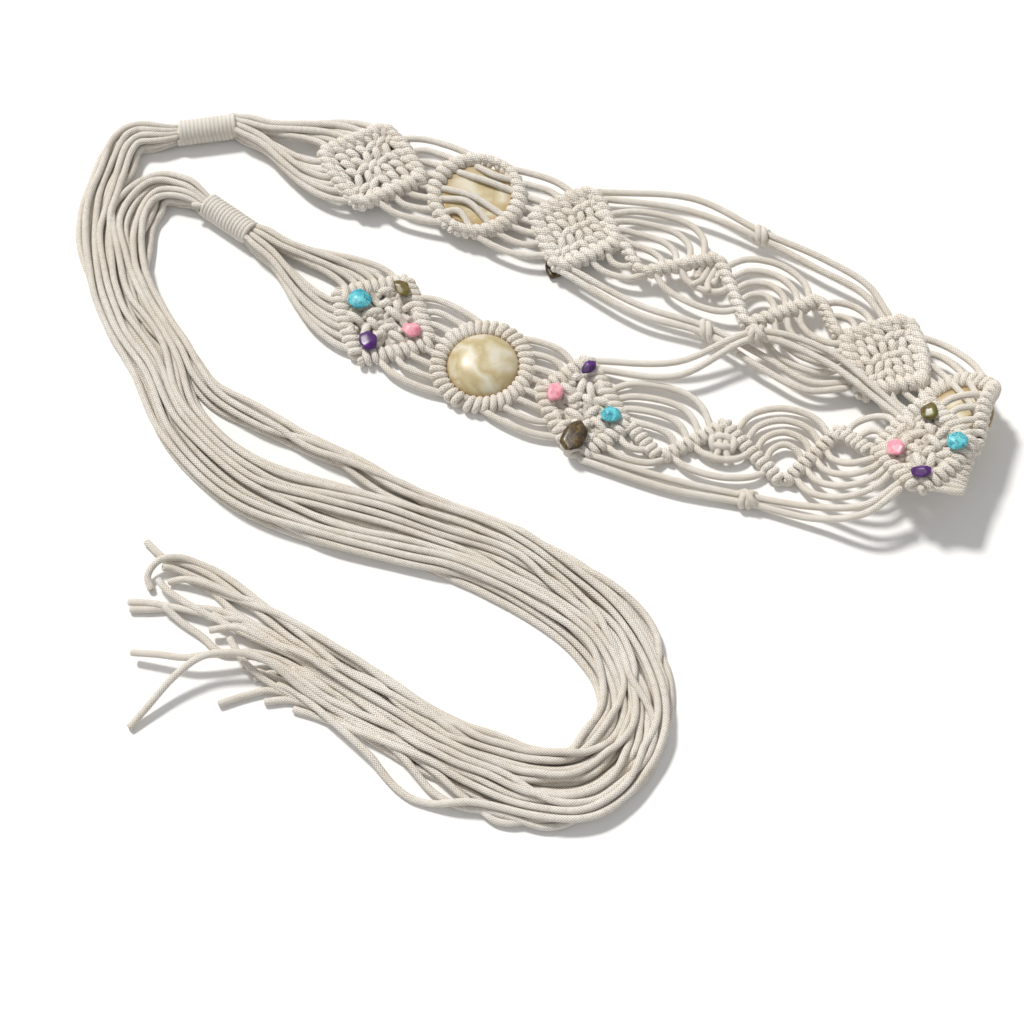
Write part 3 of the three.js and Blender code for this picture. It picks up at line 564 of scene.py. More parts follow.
def swirled_stone():
    """A cream stone in soft wavy bands: the distance along one slant plus two noises, through a ramp of
    creams and near whites, with amber towards its rim, where the stone's own map says how far up it is."""
    finish = Finish("swirled_stone", {"Roughness": 0.4, "Coat Weight": 0.15, "Coat Roughness": 0.2})
    split = finish.node("SeparateXYZ", {}, {"Vector": finish.place_on()})
    slant = Number(finish, split.outputs[0]) * 70 + Number(finish, split.outputs[1]) * 58
    bend = finish.noise(42.0, 2.0, 0.5, 0.5)
    ripple = finish.noise(150.0, 3.0, 0.6)
    wave = ((slant + bend * 7 + ripple * 1.3) * np.pi).sine() * 0.5 + 0.5
    tone = finish.ramp(
        wave,
        [(0.0, colour("bba97f")), (0.1, colour("c2b28a")), (0.5, colour("cbbe9b")),
         (0.85, colour("d2c8ae")), (1.0, colour("d9d1bd"))],
    )
    cloud = finish.noise(75.0, 4.0, 0.6)
    tone = finish.mix(cloud.within(0.52, 0.8) * 0.45, tone, colour("b8955c"))
    up = finish.lay()[1]
    rim = 1 - ((up - OVAL_RIM).size() + bend * 4).within(3.0, 14.0)
    return finish.paint(Base_Color=finish.mix(rim * 0.7, tone, colour("a5824a")))


def chip_stone(name, deep, pale, vein, vein_share):
    """A tumbled stone: a cloudy colour, crossed by veins where a twisted noise is close to its middle."""
    finish = Finish(name, {"Roughness": 0.42, "Coat Weight": 0.2, "Coat Roughness": 0.2})
    cloud = finish.noise(230.0, 4.0, 0.6)
    line = finish.noise(210.0, 3.0, 0.55, 1.6)
    tone = finish.mix(cloud.within(0.3, 0.7), colour(deep), colour(pale))
    edge = ((line - 0.5).size() * (1 / vein_share)).within(0.0, 1.0)
    tone = finish.mix(edge, colour(vein), tone)
    pits = finish.noise(900.0, 2.0)
    return finish.paint(Base_Color=tone, Normal=finish.relief(pits, 0.05))


OVAL_ROWS = 30
OVAL_SIDES = 72
OVAL_RIM = OVAL_SIDES / 2  # where an oval's own map has its rim
OVAL_RIM_SHARE = 0.16
# The first pair of colours is painted shade in the braid's low places
COTTON = braided_cotton("braided_cotton", ("a68e69", "d2c3a8"))
# The wrap's cotton is a copy with pale trough colours: painted light, so the wrap reads as evenly lit
WRAP_COTTON_PAINTED_LIGHTER = braided_cotton("wrap_cotton", ("eae1d1", "f8f3ea"))
OVAL_STONE = swirled_stone()
# Each kind of chip: its finish and its slot name
STONES = {
    "turquoise": (chip_stone("turquoise_stone", "2b9fb2", "6fd3dc", "2a2f28", 0.03), "turquoise"),
    "purple": (chip_stone("purple_stone", "32084a", "5f1c80", "1c0528", 0.03), "purple"),
    "pink": (chip_stone("pink_stone", "e58a9c", "f6b9c3", "d9667f", 0.015), "pink"),
    "dark": (chip_stone("dark_stone", "231a10", "4f3d20", "9a7830", 0.018), "brown"),
    "olive": (chip_stone("olive_stone", "42441a", "77742f", "6a3016", 0.05), "brown"),
}


def dress(piece, material, slot, *nodes):
    """Gives a piece its finish, hangs it under the root body and hides the CAD nodes it stands for."""
    piece.data.materials.append(material)
    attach(piece, "root")
    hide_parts(*nodes)


def knot_piece(node, cords, cotton=COTTON):
    """A piece of the band made of cotton cords, in place of its CAD node."""
    dress(make_mesh(node + "_cords", cords), cotton, "cord", node)


# Knotted borders: a carrier with clove hitches wound round it
COIL_RADIUS = 1.92
COIL_REACH = 2.85
COIL_RISE = 1.95
COIL_SQUARE = 2.8
COIL_PITCH = 4.1
CORNER_ROUND = 0.07
STEEP_LEAN = np.tan(np.radians(24))
FLAT_LEAN = np.tan(np.radians(8))
BACK_REACH = 2.2  # on the half that lies face down, whose backs show
BACK_RISE = 1.3
SLIM = 0.84  # a lattice bar's size to a border's
DIAMOND_SHARE = 0.86


def band_line(half, x, v, w=0.0):
    """Places over the band of a line given in x from the half's wrap, v and w."""
    return place(along(half, np.asarray(x, float)), v, w)


def band_cord(half, x, v, w, per=6, step=1.8, sides=CORD_SIDES):
    """A cord through places over the band."""
    return tube(even(spline(band_line(half, x, v, w), per), step), CORD, sides)


# The short fat floats of the knots: how far along each is, how high it lies over the middle of the band in
# millimetres and how fat it is as a share of its radius
GRAIN_RADIUS = 2.15
GRAIN_STEPS = [(-0.1, -1.3, 0.5), (0.1, 0.8, 0.88), (0.5, 1.8, 1.05), (0.9, 0.8, 0.88), (1.1, -1.3, 0.5)]
BACK_GRAIN = 7.2
BACK_GRAIN_LEAN = np.radians(-14)
BACK_GRAIN_SHAKE = 0.1
BACK_GRAIN_RISE = 1.2
BACK_PITCH = 4.7


def grain(half, start, stop, face, rise=0.0):
    """A float of a knot between two places, each an x and a v: it rises out of the band, runs over it and
    dives again, fattest in its middle."""
    start, stop = np.array(start), np.array(stop)
    rows = np.array([start + (stop - start) * share for share, _, _ in GRAIN_STEPS])
    height = np.array([step + rise for _, step, _ in GRAIN_STEPS]) * face
    path = even(spline(band_line(half, rows[:, 0], rows[:, 1], height), 5), 1.3)
    sizes = [size for _, _, size in GRAIN_STEPS]
    size = np.interp(np.linspace(0, 1, len(path)), [0, 0.2, 0.5, 0.8, 1], sizes)
    return tube(path, GRAIN_RADIUS * size, 10)


def leaning_grain(half, x, v, lean, length, face, rise=0.0):
    """A float whose middle is at x and v, so many millimetres long, turned by lean."""
    reach = np.array([np.cos(lean), np.sin(lean)]) * length / 2
    return grain(half, (x - reach[0], v - reach[1]), (x + reach[0], v + reach[1]), face, rise)


def hitched_bar(half, x, v, lean, size=1.0):
    """Clove hitches along a line over the band, leaning by lean at each of its points. They are wound the
    way that makes their backs run along the band. On the half that lies face down their backs show, as
    short floats that all run along the band."""
    x, v = np.broadcast_arrays(np.asarray(x, float), np.asarray(v, float))
    carrier = band_line(half, x, v)
    out = unit(band_line(half, x, v, 1.0) - carrier)
    across = unit(np.cross(out, np.gradient(carrier, axis=0)))
    climb = (v[-1] - v[0]) * FACE[half]
    at = lengths_along(carrier)
    turns = int(round(at[-1] / COIL_PITCH))
    hand = -1 if climb > 0 else 1
    shown = half == "front"
    reach, rise = (COIL_REACH, COIL_RISE) if shown else (BACK_REACH, BACK_RISE)
    path = coil(carrier, across, out, turns, reach * size, rise * size, lean, hand=hand, square=COIL_SQUARE)
    cords = [tube(path, COIL_RADIUS * (1 + size) / 2, 9)]
    if shown:
        return cords
    count = int(round(at[-1] / BACK_PITCH))
    for here in (np.arange(count) + 0.5) / count * at[-1]:
        spot = np.interp(here, at, x), np.interp(here, at, v)
        lean = BACK_GRAIN_LEAN + rng.normal(0, BACK_GRAIN_SHAKE)
        cords.append(leaning_grain(half, *spot, lean, BACK_GRAIN * (1 + size) / 2, -1, BACK_GRAIN_RISE))
    return cords


def diamond_border(half, middle, half_length, towards, side):
    """One quarter of a diamond's border, from its end corner to its side corner: |x| + |v| is the same all
    along, with both corners rounded a little."""
    t = np.linspace(0, 1, 21)
    x = middle + towards * (1 - t) * half_length * DIAMOND_SHARE
    bow = CORNER_ROUND * np.sin(np.pi * t)
    v = side * HALF_WIDTH * DIAMOND_SHARE * (t + bow)
    lean = (STEEP_LEAN if towards == side else FLAT_LEAN) * FACE[half] * side * towards
    return hitched_bar(half, x, v, lean)


# A square knot, in shares of half the band's width from its middle: across and along, and how high the cord
# lies over the middle of the band, in millimetres
KNOT_ARCH = [(0.05, -0.17, 0.3), (0.085, -0.09, 2.1), (0.1, 0.0, 2.5), (0.085, 0.09, 2.1), (0.05, 0.17, 0.3)]
KNOT_SIDE = [(-0.12, 0.15, 0.4), (-0.05, 0.185, 1.9), (0.05, 0.185, 1.9), (0.12, 0.15, 0.4)]
# The short fat floats of the knots in a diamond's field: both ends, in shares of its half length and half
# width, round a dark hole in the middle and four smaller ones
FIELD_GRAINS = [
    ((-0.52, 0.21), (-0.22, 0.15)),
    ((-0.01, 0.49), (-0.13, 0.22)),
    ((0.11, 0.5), (0.16, 0.24)),
    ((-0.05, 0.2), (-0.25, 0.03)),
    ((0.01, 0.2), (0.17, 0.12)),
    ((0.2, 0.25), (0.62, 0.27)),
    ((-0.37, 0.07), (-0.34, -0.21)),
    ((-0.29, -0.16), (0.05, -0.23)),
    ((0.36, 0.17), (0.05, -0.2)),
    ((0.43, 0.17), (0.35, -0.05)),
    ((-0.18, -0.31), (-0.44, -0.65)),
    ((-0.14, -0.32), (-0.03, -0.4)),
    ((0.17, -0.17), (0.04, -0.35)),
    ((0.25, -0.11), (0.49, -0.27)),
    ((-0.51, -0.27), (-0.4, -0.43)),
    ((-0.3, 0.44), (-0.14, 0.5)),
    ((0.38, 0.42), (0.3, 0.6)),
    ((0.3, -0.42), (0.12, -0.6)),
]
FIELD_HOLES = [(-0.09, 0.01), (-0.32, 0.34), (0.41, 0.49), (0.26, -0.35), (-0.56, -0.4)]
FILL_PITCH = 0.25
FILL_REACH = 0.78
FILL_CLEAR = 0.13
FILL_LENGTH = 0.25
FILL_LEANS = np.radians([-38, 52])
FIELD_SHAKE = 0.012
# Each diamond's number, its length and how its field's chart is turned, as a pair of signs
DIAMONDS = {
    "first": (1, FIRST_LENGTH, (-1, -1)),
    "third": (3, THIRD_LENGTH, (1, 1)),
    "fourth": (4, FOURTH_LENGTH, (1, -1)),
}
CHIP_CLEAR = 0.22
GRAIN_LONGEST = 0.32  # in shares of half the band's width
# The backs of the knots: a diagonal grid of floats, steep near the middle and along the band elsewhere
BACK_GRID = 0.26
BACK_REACHES = 0.8
BACK_STEEP_WITHIN = 0.24
BACK_STEEP = np.radians([72, -62])
BACK_SHAKE = 0.15
BACK_UNEVEN = 0.3


def field_floats(turned):
    """The chart's floats, and short slanting ones on a diagonal grid over what they leave bare, with the
    holes kept."""
    floats = [[np.array(spot) * turned for spot in ends] for ends in FIELD_GRAINS]
    share = np.linspace(0, 1, 5)[:, None]
    taken = [start + (stop - start) * share for start, stop in floats] + [np.array(FIELD_HOLES) * turned]
    for i in range(-4, 5):
        for j in range(-4, 5):
            spot = np.array([i + j, i - j]) * FILL_PITCH / 2
            near = min(np.linalg.norm(points - spot, axis=-1).min() for points in taken)
            if np.abs(spot).sum() < FILL_REACH and near > FILL_CLEAR:
                lean = FILL_LEANS[(i + j) % 2]
                half = np.array([np.cos(lean), np.sin(lean)]) * FILL_LENGTH / 2
                floats.append([spot - half, spot + half])
                taken.append(spot - half + 2 * half * share)
    return floats


def field_front(half, middle, stretch, turned, chips):
    """The knotted field seen from its face: floats on top, turned as a pair of signs, clear of the stones."""
    cords = []
    for start, stop in field_floats(turned):
        start, stop = (spot + rng.normal(0, FIELD_SHAKE, 2) for spot in (start, stop))
        centre = (start + stop) / 2
        reach = (stop - start) / 2
        reach = reach * min(GRAIN_LONGEST / 2 / np.hypot(*reach), 1)
        if min(np.hypot(*(centre - chip)) for chip in chips) > CHIP_CLEAR:
            ends = [np.array([middle, 0]) + spot * HALF_WIDTH * np.array([stretch, 1])
                    for spot in (centre - reach, centre + reach)]
            cords.append(grain(half, *ends, 1))
    return cords


def field_back(half, middle, stretch, turned):
    """The knotted field seen from behind: a diagonal grid of short floats with a few holes."""
    cords = []
    holes = np.array(FIELD_HOLES) * turned
    for i in range(-5, 6):
        for j in range(-5, 6):
            spot = np.array([i + j, i - j]) * BACK_GRID / 2
            clear = np.linalg.norm(holes - spot, axis=-1).min() > BACK_GRID / 4
            if np.abs(spot).sum() < BACK_REACHES and clear:
                steep = abs(spot[0]) < BACK_STEEP_WITHIN
                lean = (BACK_STEEP[j % 2] if steep else BACK_GRAIN_LEAN) + rng.normal(0, BACK_SHAKE)
                x, v = middle + spot[0] * HALF_WIDTH * stretch, spot[1] * HALF_WIDTH
                rise = rng.normal(0, BACK_UNEVEN)
                cords.append(leaning_grain(half, x, v, lean, BACK_GRAIN, -1, rise))
    return cords


# Arcs of cord from one motif's edge to the next, nested about the place where the motifs touch: where
# each leaves and lands, in shares of a quarter of the edge, and its swell in cords
ARC_ROWS = [(0.1, 0.12, -0.1), (0.28, 0.3, 0.1), (0.5, 0.5, 0.5), (0.82, 0.8, 0.8)]
FOLD_ARC_ROWS = [(0.08 + 0.11 * k, 0.08 + 0.11 * k, -0.1 + 0.11 * k) for k in range(9)]
ARC_BENDS = (0.3, 0.66)
ARC_HEIGHTS = [-0.6, 0.4, 0.3, -0.8]
RING_OUTLINE = (RING_LENGTH / 2 - BAR, RING_WIDTH / 2 - BAR, 2)


def edge_place(middle, outline, towards, share, side):
    """A place on a motif's knotted edge, a superellipse of power 1 for a diamond and 2 for a ring."""
    half_length, half_across, power = outline
    c, s = np.cos(share * np.pi / 2), np.sin(share * np.pi / 2)
    scale = (abs(c) ** power + abs(s) ** power) ** (-1 / power)
    return middle + towards * half_length * c * scale, side * half_across * s * scale


def diamond_outline(length):
    return length / 2 * DIAMOND_SHARE, HALF_WIDTH * DIAMOND_SHARE, 1


def nested_arcs(half, before, after, fold=False):
    """Cords that bridge two motifs on both sides of the place where they touch, closer together where
    they go round the fold."""
    cords = []
    for side in (-1, 1):
        for leave, land, swell in FOLD_ARC_ROWS if fold and side < 0 else ARC_ROWS:
            x0, v0 = edge_place(*before, 1, leave, side)
            x1, v1 = edge_place(*after, -1, land, side)
            top = side * (max(abs(v0), abs(v1)) + swell * CORD_DIAMETER)
            x = [x0, *(x0 + share * (x1 - x0) for share in ARC_BENDS), x1]
            cords.append(band_cord(half, x, [v0, top, top, v1], ARC_HEIGHTS))
    return cords


# Cords that cross behind an oval stone, in shares of its ring: along and across at both ends and between
RING_FLOATS = [
    [(-0.62, 0.42), (0.1, 0.4), (0.85, 0.42)],
    [(-0.3, 0.72), (0.2, 0.62), (0.6, 0.7)],
    [(-0.95, -0.15), (-0.1, -0.12), (0.85, -0.3)],
    [(-0.75, -0.42), (-0.1, -0.3), (0.65, -0.65)],
    [(-0.55, -0.75), (-0.2, -0.62), (0.25, -0.88)],
]
FLOAT_DEPTHS = [-1.4, -3.0, -1.4]
RING_LEAN = np.tan(np.radians(14))


def ring_cords(half, middle):
    """The closed round of hitches about an oval stone, an ellipse, x = a cos t and v = b sin t, in four
    quarters, and the cords that cross behind the stone."""
    reach, across, _ = RING_OUTLINE
    cords = []
    for quarter in range(4):
        t = (quarter + np.linspace(0, 1, 25)) * np.pi / 2
        cords += hitched_bar(half, middle + reach * np.cos(t), across * np.sin(t), RING_LEAN)
    for rows in RING_FLOATS:
        x, v = np.transpose(rows)
        cords.append(band_cord(half, middle + x * reach, v * across, FLOAT_DEPTHS, 8))
    return cords


# The lattice, in shares of its length and of half the band's width
ZIGZAG = [(0, 0), (0.13, -0.42), (0.39, 0.45), (0.64, -0.57), (0.86, 0.5), (1, 0)]
LATTICE_ARCS = [
    (3, [(-0.12, 0.48), (-0.04, 0.14)], [(0.2, 0.92), (0.12, 0.1)], [(0.34, 0.28), (0.2, -0.19)]),
    (2, [(-0.11, -0.44), (-0.05, -0.2)], [(0, -0.62), (0.01, -0.4)], [(0.14, -0.42), (0.08, -0.26)]),
    (2, [(0.17, -0.29), (0.26, 0.02)], [(0.38, -0.58), (0.38, -0.24)], [(0.58, -0.33), (0.5, 0.02)]),
    (3, [(0.43, 0.3), (0.56, -0.24)], [(0.63, 0.86), (0.64, 0.16)], [(0.83, 0.36), (0.72, -0.18)]),
    (3, [(0.68, -0.38), (0.8, 0.22)], [(0.9, -0.88), (0.91, -0.2)], [(1.1, -0.46), (1.03, -0.12)]),
    (2, [(0.88, 0.43), (0.93, 0.25)], [(1, 0.7), (1, 0.42)], [(1.1, 0.46), (1.05, 0.22)]),
]
LATTICE_ARC_HEIGHTS = [-1.2, 0.5, 0.9, 0.4, -1.2]
SHOULDER = np.array([0.34, 0.7])  # how far an arc's shoulder is from its end to its top, along and across
PEAK_KNOT = (0.385, 0.08)
PEAK_CORD = [(0.32, 0.12, -0.8), (0.15, 0.06, 0.8), (0, 0.055, 1), (-0.15, 0.06, 0.8), (-0.32, 0.14, -0.8)]


def lattice_line(half, x, v):
    """Millimetres along and across from shares of the lattice's length and of half the band's width."""
    start = MARKS[half]["lattice_start"]
    return start + LATTICE_LENGTH * np.asarray(x, float), np.asarray(v, float) * HALF_WIDTH


def lattice_cords(half):
    """A zigzag of hitched bars, nests of arcs about its corners, and a small square knot in one peak."""
    cords = []
    for (x0, v0), (x1, v1) in zip(ZIGZAG[:-1], ZIGZAG[1:]):
        share = np.linspace(0, 1, 9)
        x, v = lattice_line(half, x0 + (x1 - x0) * share, v0 + (v1 - v0) * share)
        cords += hitched_bar(half, x, v, -np.sign(v1 - v0) * FACE[half] * FLAT_LEAN, SLIM)
    for count, leave, top, land in LATTICE_ARCS:
        for share in np.linspace(0, 1, count + 1 if count > 2 else count):
            start, peak, stop = [np.array(rows[0]) * (1 - share) + np.array(rows[1]) * share
                                 for rows in (leave, top, land)]
            rows = [start, start + (peak - start) * SHOULDER, peak, stop + (peak - stop) * SHOULDER, stop]
            cords.append(band_cord(half, *lattice_line(half, *np.transpose(rows)), LATTICE_ARC_HEIGHTS))
    x0, v0 = PEAK_KNOT
    stretch = HALF_WIDTH / LATTICE_LENGTH
    for sign in (-1, 1):
        for rows, sides in ((KNOT_ARCH, (sign, 1)), (KNOT_SIDE, (1, sign)), (PEAK_CORD, (1, sign))):
            p, q, w = np.transpose(rows)
            x, v = lattice_line(half, x0 + sides[1] * q * stretch, v0 + sides[0] * p)
            cords.append(band_cord(half, x, v, w, 4, 1.6, 8))
    return cords


# Loose cord pairs beside a lattice, each tied together once
LOOSE_X = [-0.2, 0.18, 0.5, 0.78, 1, 1.14]
LOOSE_APART = {"upper": [1.15, 2.3, 1.15, 2.0, 1.6, 1.15], "lower": [1.15, 1.5, 1.15, 1.9, 1.5, 1.15]}
LOOSE_KNOT = 2  # which of these places has the knot
OVERHAND = 3.4
OVERHAND_LEAN = 0.35
OVERHAND_DRIFT = 0.4
OVERHAND_SLANT = np.array([(-4.6, 2.6, 0), (-1.6, 2.2, 3.9), (1.6, -2.2, 3.9), (4.6, -2.6, 0)])
LOOSE_KNOT_RADIUS = 5.5
PASS_HEIGHT = BACK_LIFT - FRONT_LIFT + LOOSE_KNOT_RADIUS + CORD + SEAT_GAP
TUCK_DEPTH = BAR + CORD + 2 * SEAT_GAP
LEVEL = [0] * 6
LOOSE_ROUTES = [
    ("front", "upper", 1, [0.84, 1.25, 2.05, 1.75, 1.1, 0.7], [0, 0.45, 1, 0.95, 0.33, 0], [0] * 5 + [1]),
    ("front", "lower", -1, [0.84, 0.86, 0.94, 1.12, 1.18, 0.8], LEVEL, LEVEL),
    ("back", "upper", 1, [0.84, 1.3, 1.25, 1.2, 1.1, 0.75], LEVEL, LEVEL),
    ("back", "lower", -1, [0.84, 1.12, 0.98, 1.1, 1.15, 0.8], LEVEL, LEVEL),
]


def overhand(middle, axes):
    """A pair's overhand knot: two close turns round the pair, and one strand slanting over them. The axes
    are the directions along the pair, across it and up."""
    line = middle + np.linspace(-OVERHAND, OVERHAND, 9)[:, None] * axes[0]
    across, up = (np.tile(axis, (9, 1)) for axis in axes[1:])
    turns = coil(line, across, up, 2, OVERHAND, OVERHAND, OVERHAND_LEAN, 16, OVERHAND_DRIFT)
    return [tube(turns, CORD, 9), tube(even(spline(middle + OVERHAND_SLANT @ axes, 6), 1.4), CORD, 9)]


def loose_cords(half, name, side, out, rise, tuck):
    """A pair from motif to motif: how far out it runs, which share of its way up to pass over the other
    half, and which of its way down to tuck in under it. Then its knot."""
    height = np.array(rise) * PASS_HEIGHT - np.array(tuck) * TUCK_DEPTH
    x, v = lattice_line(half, LOOSE_X, side * np.array(out))
    apart = np.array(LOOSE_APART[name]) * CORD
    spot = along(half, x[LOOSE_KNOT]), v[LOOSE_KNOT], height[LOOSE_KNOT]
    cords = [band_cord(half, x, v + sign * apart, height, 8, 2.0) for sign in (-1, 1)]
    return cords + overhand(place(*spot), np.array(axes_at(*spot)))


# Fans
FAN_LEVELS = [0, 1, -1, 1, -1, 0]
FAN_INNER = 3
# Their bends, in shares of the way along, across and up, and how far they swell outwards, in millimetres
FAN_BENDS = [(0.2, 0.1, 0.85, 0.4), (0.44, 0.5, 0.6, 1.8), (0.68, 0.84, 0.35, 3.2), (0.87, 0.98, 0.15, 2.6)]
FAN_SLACK = 0.1
# Their first places, inside the wrap: along in millimetres, and the shares of their seat across and up
FAN_ROOTS = [(-5.0, 0.62, 0.7), (0.5, 0.8, 0.85)]
FAN_SLIM = ([0, 6, 14], [0.8, 0.85, 1.0])


def fan_cords(half):
    """Single cords from inside the wrap to the two near borders of the first diamond, in slow S bends."""
    marks = MARKS[half]
    axis = FACE[half] * (WRAP_DIAMETER / 2 - (FRONT_LIFT if half == "front" else BACK_LIFT))
    pitch = CORD_DIAMETER + FAN_SLACK
    cords = []
    for side in (-1, 1):
        for k in range(FAN_CORDS // 2):
            share = (k + 0.6) / (FAN_CORDS / 2)
            x1, v1 = edge_place(marks["first_middle"], diamond_outline(FIRST_LENGTH), -1, share, side)
            x0, v0 = NECK_LENGTH, side * pitch * (0.5 if k < FAN_INNER else 1.5)
            w0 = axis + pitch * FAN_LEVELS[k]
            roots = [(x, v0 * q, axis + (w0 - axis) * r) for x, q, r in FAN_ROOTS]
            bends = [
                (x0 + (x1 - x0) * p, v0 + (v1 - v0) * q + side * swell, w0 * r)
                for p, q, r, swell in FAN_BENDS
            ]
            rows = np.array(roots + [(x0, v0, w0)] + bends + [(x1, v1, 0.0)])
            path = even(spline(band_line(half, *rows.T), 8), 2.0)
            cords.append(tube(path, CORD * np.interp(lengths_along(path), *FAN_SLIM)))
    return cords


# Wraps
WRAP_COIL_TURNS = 14
WRAP_COIL_RADIUS = 1.28
WRAP_COIL_END = 1.7  # from the wrap's end to the middle of its last turn
WRAP_LEAN = 0.06
WRAP_DRIFT = 0.3
WRAP_CORE = WRAP_DIAMETER / 2 - WRAP_COIL_RADIUS - 0.6
# The cut end that sticks out of the front wrap: along, aside and up from its far end
WRAP_TIP = np.array([(-4.0, 2.5, 2.0), (1.0, 4.6, 3.6), (4.0, 6.4, 3.2)])
TIP_SHARE = 0.72


def wrap_cords(half):
    """A whipping: one thin cord wound close round the bundle's core, and on the front its cut end."""
    ends = [wrap_place(half, x, WRAP_DIAMETER / 2) for x in (WRAP_COIL_END, WRAP_LENGTH - WRAP_COIL_END)]
    share = np.linspace(0, 1, 9)[:, None]
    axis = ends[0] * (1 - share) + ends[1] * share
    ahead = unit(ends[1] - ends[0])
    aside = unit(np.cross(UP, ahead))
    reach = WRAP_DIAMETER / 2 - WRAP_COIL_RADIUS
    sides, ups = np.tile(aside, (9, 1)), np.tile(UP, (9, 1))
    path = coil(axis, sides, ups, WRAP_COIL_TURNS, reach, reach, WRAP_LEAN, 28, WRAP_DRIFT)
    cords = [tube(path, WRAP_COIL_RADIUS, 10), tube(axis[1:-1], WRAP_CORE, 16)]
    if half == "front":
        tip = spline(ends[1] + WRAP_TIP @ np.array([ahead, aside, UP]), 6)
        cords.append(tube(even(tip, 1.2), CORD * TIP_SHARE, 9, ROUND_END, CUT_END))
    return cords


# Stones: each chip's side of its diamond, its stone, its place in shares of the diamond, along and across,
# its length and width in millimetres and its turn in degrees
CHIPS = {
    "first": [
        ("left", "turquoise", -0.47, 0.04, 13, 12, 20),
        ("lower", "purple", 0.03, -0.57, 11, 9.5, -30),
        ("right", "pink", 0.55, 0, 10, 8.5, 15),
        ("upper", "olive", 0.06, 0.62, 12, 7.5, -28),
    ],
    "third": [
        ("left", "pink", -0.58, -0.03, 8.5, 11, 12),
        ("lower", "dark", -0.1, -0.66, 12.5, 19, 4),
        ("right", "turquoise", 0.58, 0, 10, 9.5, 30),
        ("upper", "purple", 0.06, 0.66, 6.5, 10, -12),
    ],
    "fourth": [
        ("left", "pink", -0.55, -0.12, 9.5, 11, 35),
        ("lower", "purple", 0, -0.66, 11, 7, 5),
        ("right", "turquoise", 0.57, -0.1, 11, 10.5, 40),
        ("upper", "olive", 0.03, 0.55, 9, 11.5, 0),
    ],
}
GOLDEN = (1 + 5**0.5) / 2
PEBBLE_POWER = 14
PEBBLE_ROWS = 22
PEBBLE_SIDES = 32
PEBBLE_SHAKE = 0.13
PEBBLE_NEAREST = 0.88  # the least distance of a plane, as a share of the greatest


def sphere_ways(rows, sides):
    """Directions on a grid from pole to pole, without the poles themselves."""
    polar, turn = np.meshgrid(
        np.linspace(0, np.pi, rows + 2)[1:-1], np.linspace(0, 2 * np.pi, sides, endpoint=False), indexing="ij"
    )
    return np.stack([np.sin(polar) * np.cos(turn), np.sin(polar) * np.sin(turn), -np.cos(polar)], axis=-1)


def pebble(seed):
    """A faceted stone with worn edges: the distance out in a direction d is one over the power mean of
    its shares of the planes, (sum of max(0, n.d)^p)^(-1/p), with the planes of a dodecahedron shaken."""
    shake = np.random.default_rng(seed)
    signs = [(0, i, j * GOLDEN) for i in (-1, 1) for j in (-1, 1)]
    planes = np.array([np.roll(row, k) for row in signs for k in range(3)])
    planes = unit(unit(planes) + shake.normal(0, PEBBLE_SHAKE, planes.shape))
    ways = sphere_ways(PEBBLE_ROWS, PEBBLE_SIDES)
    facing = np.maximum(ways @ planes.T, 0) / shake.uniform(PEBBLE_NEAREST, 1.0, len(planes))
    return ways / np.sum(facing**PEBBLE_POWER, axis=-1, keepdims=True) ** (1 / PEBBLE_POWER)


def add_chip(half, diamond, seed, chip, stone, x, v, length, width, turn):
    """A chip in the place, turn and size of its CAD solid."""
    node = f"chip_{half}_{diamond}_{chip}"
    low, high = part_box(node)
    middle = np.array((low + high) / 2) / MM - SHIFT
    u = along(half, MARKS[half][diamond + "_middle"] + x * DIAMONDS[diamond][1] / 2)
    ahead, aside, out = axes_at(u, v * HALF_WIDTH, 0.0)
    c, s = np.cos(np.radians(turn)), np.sin(np.radians(turn))
    basis = np.stack([ahead * c + aside * s, aside * c - ahead * s, out])
    form = pebble(seed)
    reach = np.abs(form).reshape(-1, 3).max(axis=0)
    points = middle + (form / reach * np.array([length, width, CHIP_HEIGHT]) / 2) @ basis
    finish, slot = STONES[stone]
    dress(stone_mesh(node + "_stone", points), finish, slot, node)


def add_oval(name, u):
    """A cabochon, flat underneath, with a short rim of share r of its height and a low dome: its height at
    a share s of the way out is r + (1 - r) * (1 - s^2.5)^0.62."""
    under = np.stack([np.linspace(0.02, 1, OVAL_ROWS), np.zeros(OVAL_ROWS)], axis=-1)
    far = np.cos(np.linspace(0, np.pi / 2, OVAL_ROWS, endpoint=False))
    dome = np.stack([far, OVAL_RIM_SHARE + (1 - OVAL_RIM_SHARE) * (1 - far**2.5) ** 0.62], axis=-1)
    profile = np.vstack([under, dome])[:, None]
    turn = np.linspace(0, 2 * np.pi, OVAL_SIDES, endpoint=False)
    around = np.stack([np.cos(turn) * OVAL_LENGTH / 2, np.sin(turn) * OVAL_WIDTH / 2], axis=-1)
    up = np.broadcast_to(profile[..., 1:] * OVAL_HEIGHT - OVAL_SINK, (len(profile), OVAL_SIDES, 1))
    local = np.concatenate([profile[..., :1] * around, up], axis=-1)
    points = place(u, 0.0, 0.0) + local @ np.stack(axes_at(u, 0.0, 0.0))
    dress(stone_mesh(name + "_stone", points), OVAL_STONE, "oval_stone", name)


# Ties: the middle lines of the four bundles, as the CAD has them
TIE_BUNDLE_DIAMETER = 9.0
TIE_PITCH = TIE_BUNDLE_DIAMETER + 2 * SEAT_GAP
TIE_BUNDLES = [
    ("back", "outer", -0.57), ("back", "inner", 0.57), ("front", "outer", -0.57), ("front", "inner", 0.57)
]
TIE_STARTS = {
    "back": [(-204, 225), (-217, 209), (-224, 186), (-225, 162)],
    "front": [(-189, 192), (-198, 182), (-202, 165)],
}
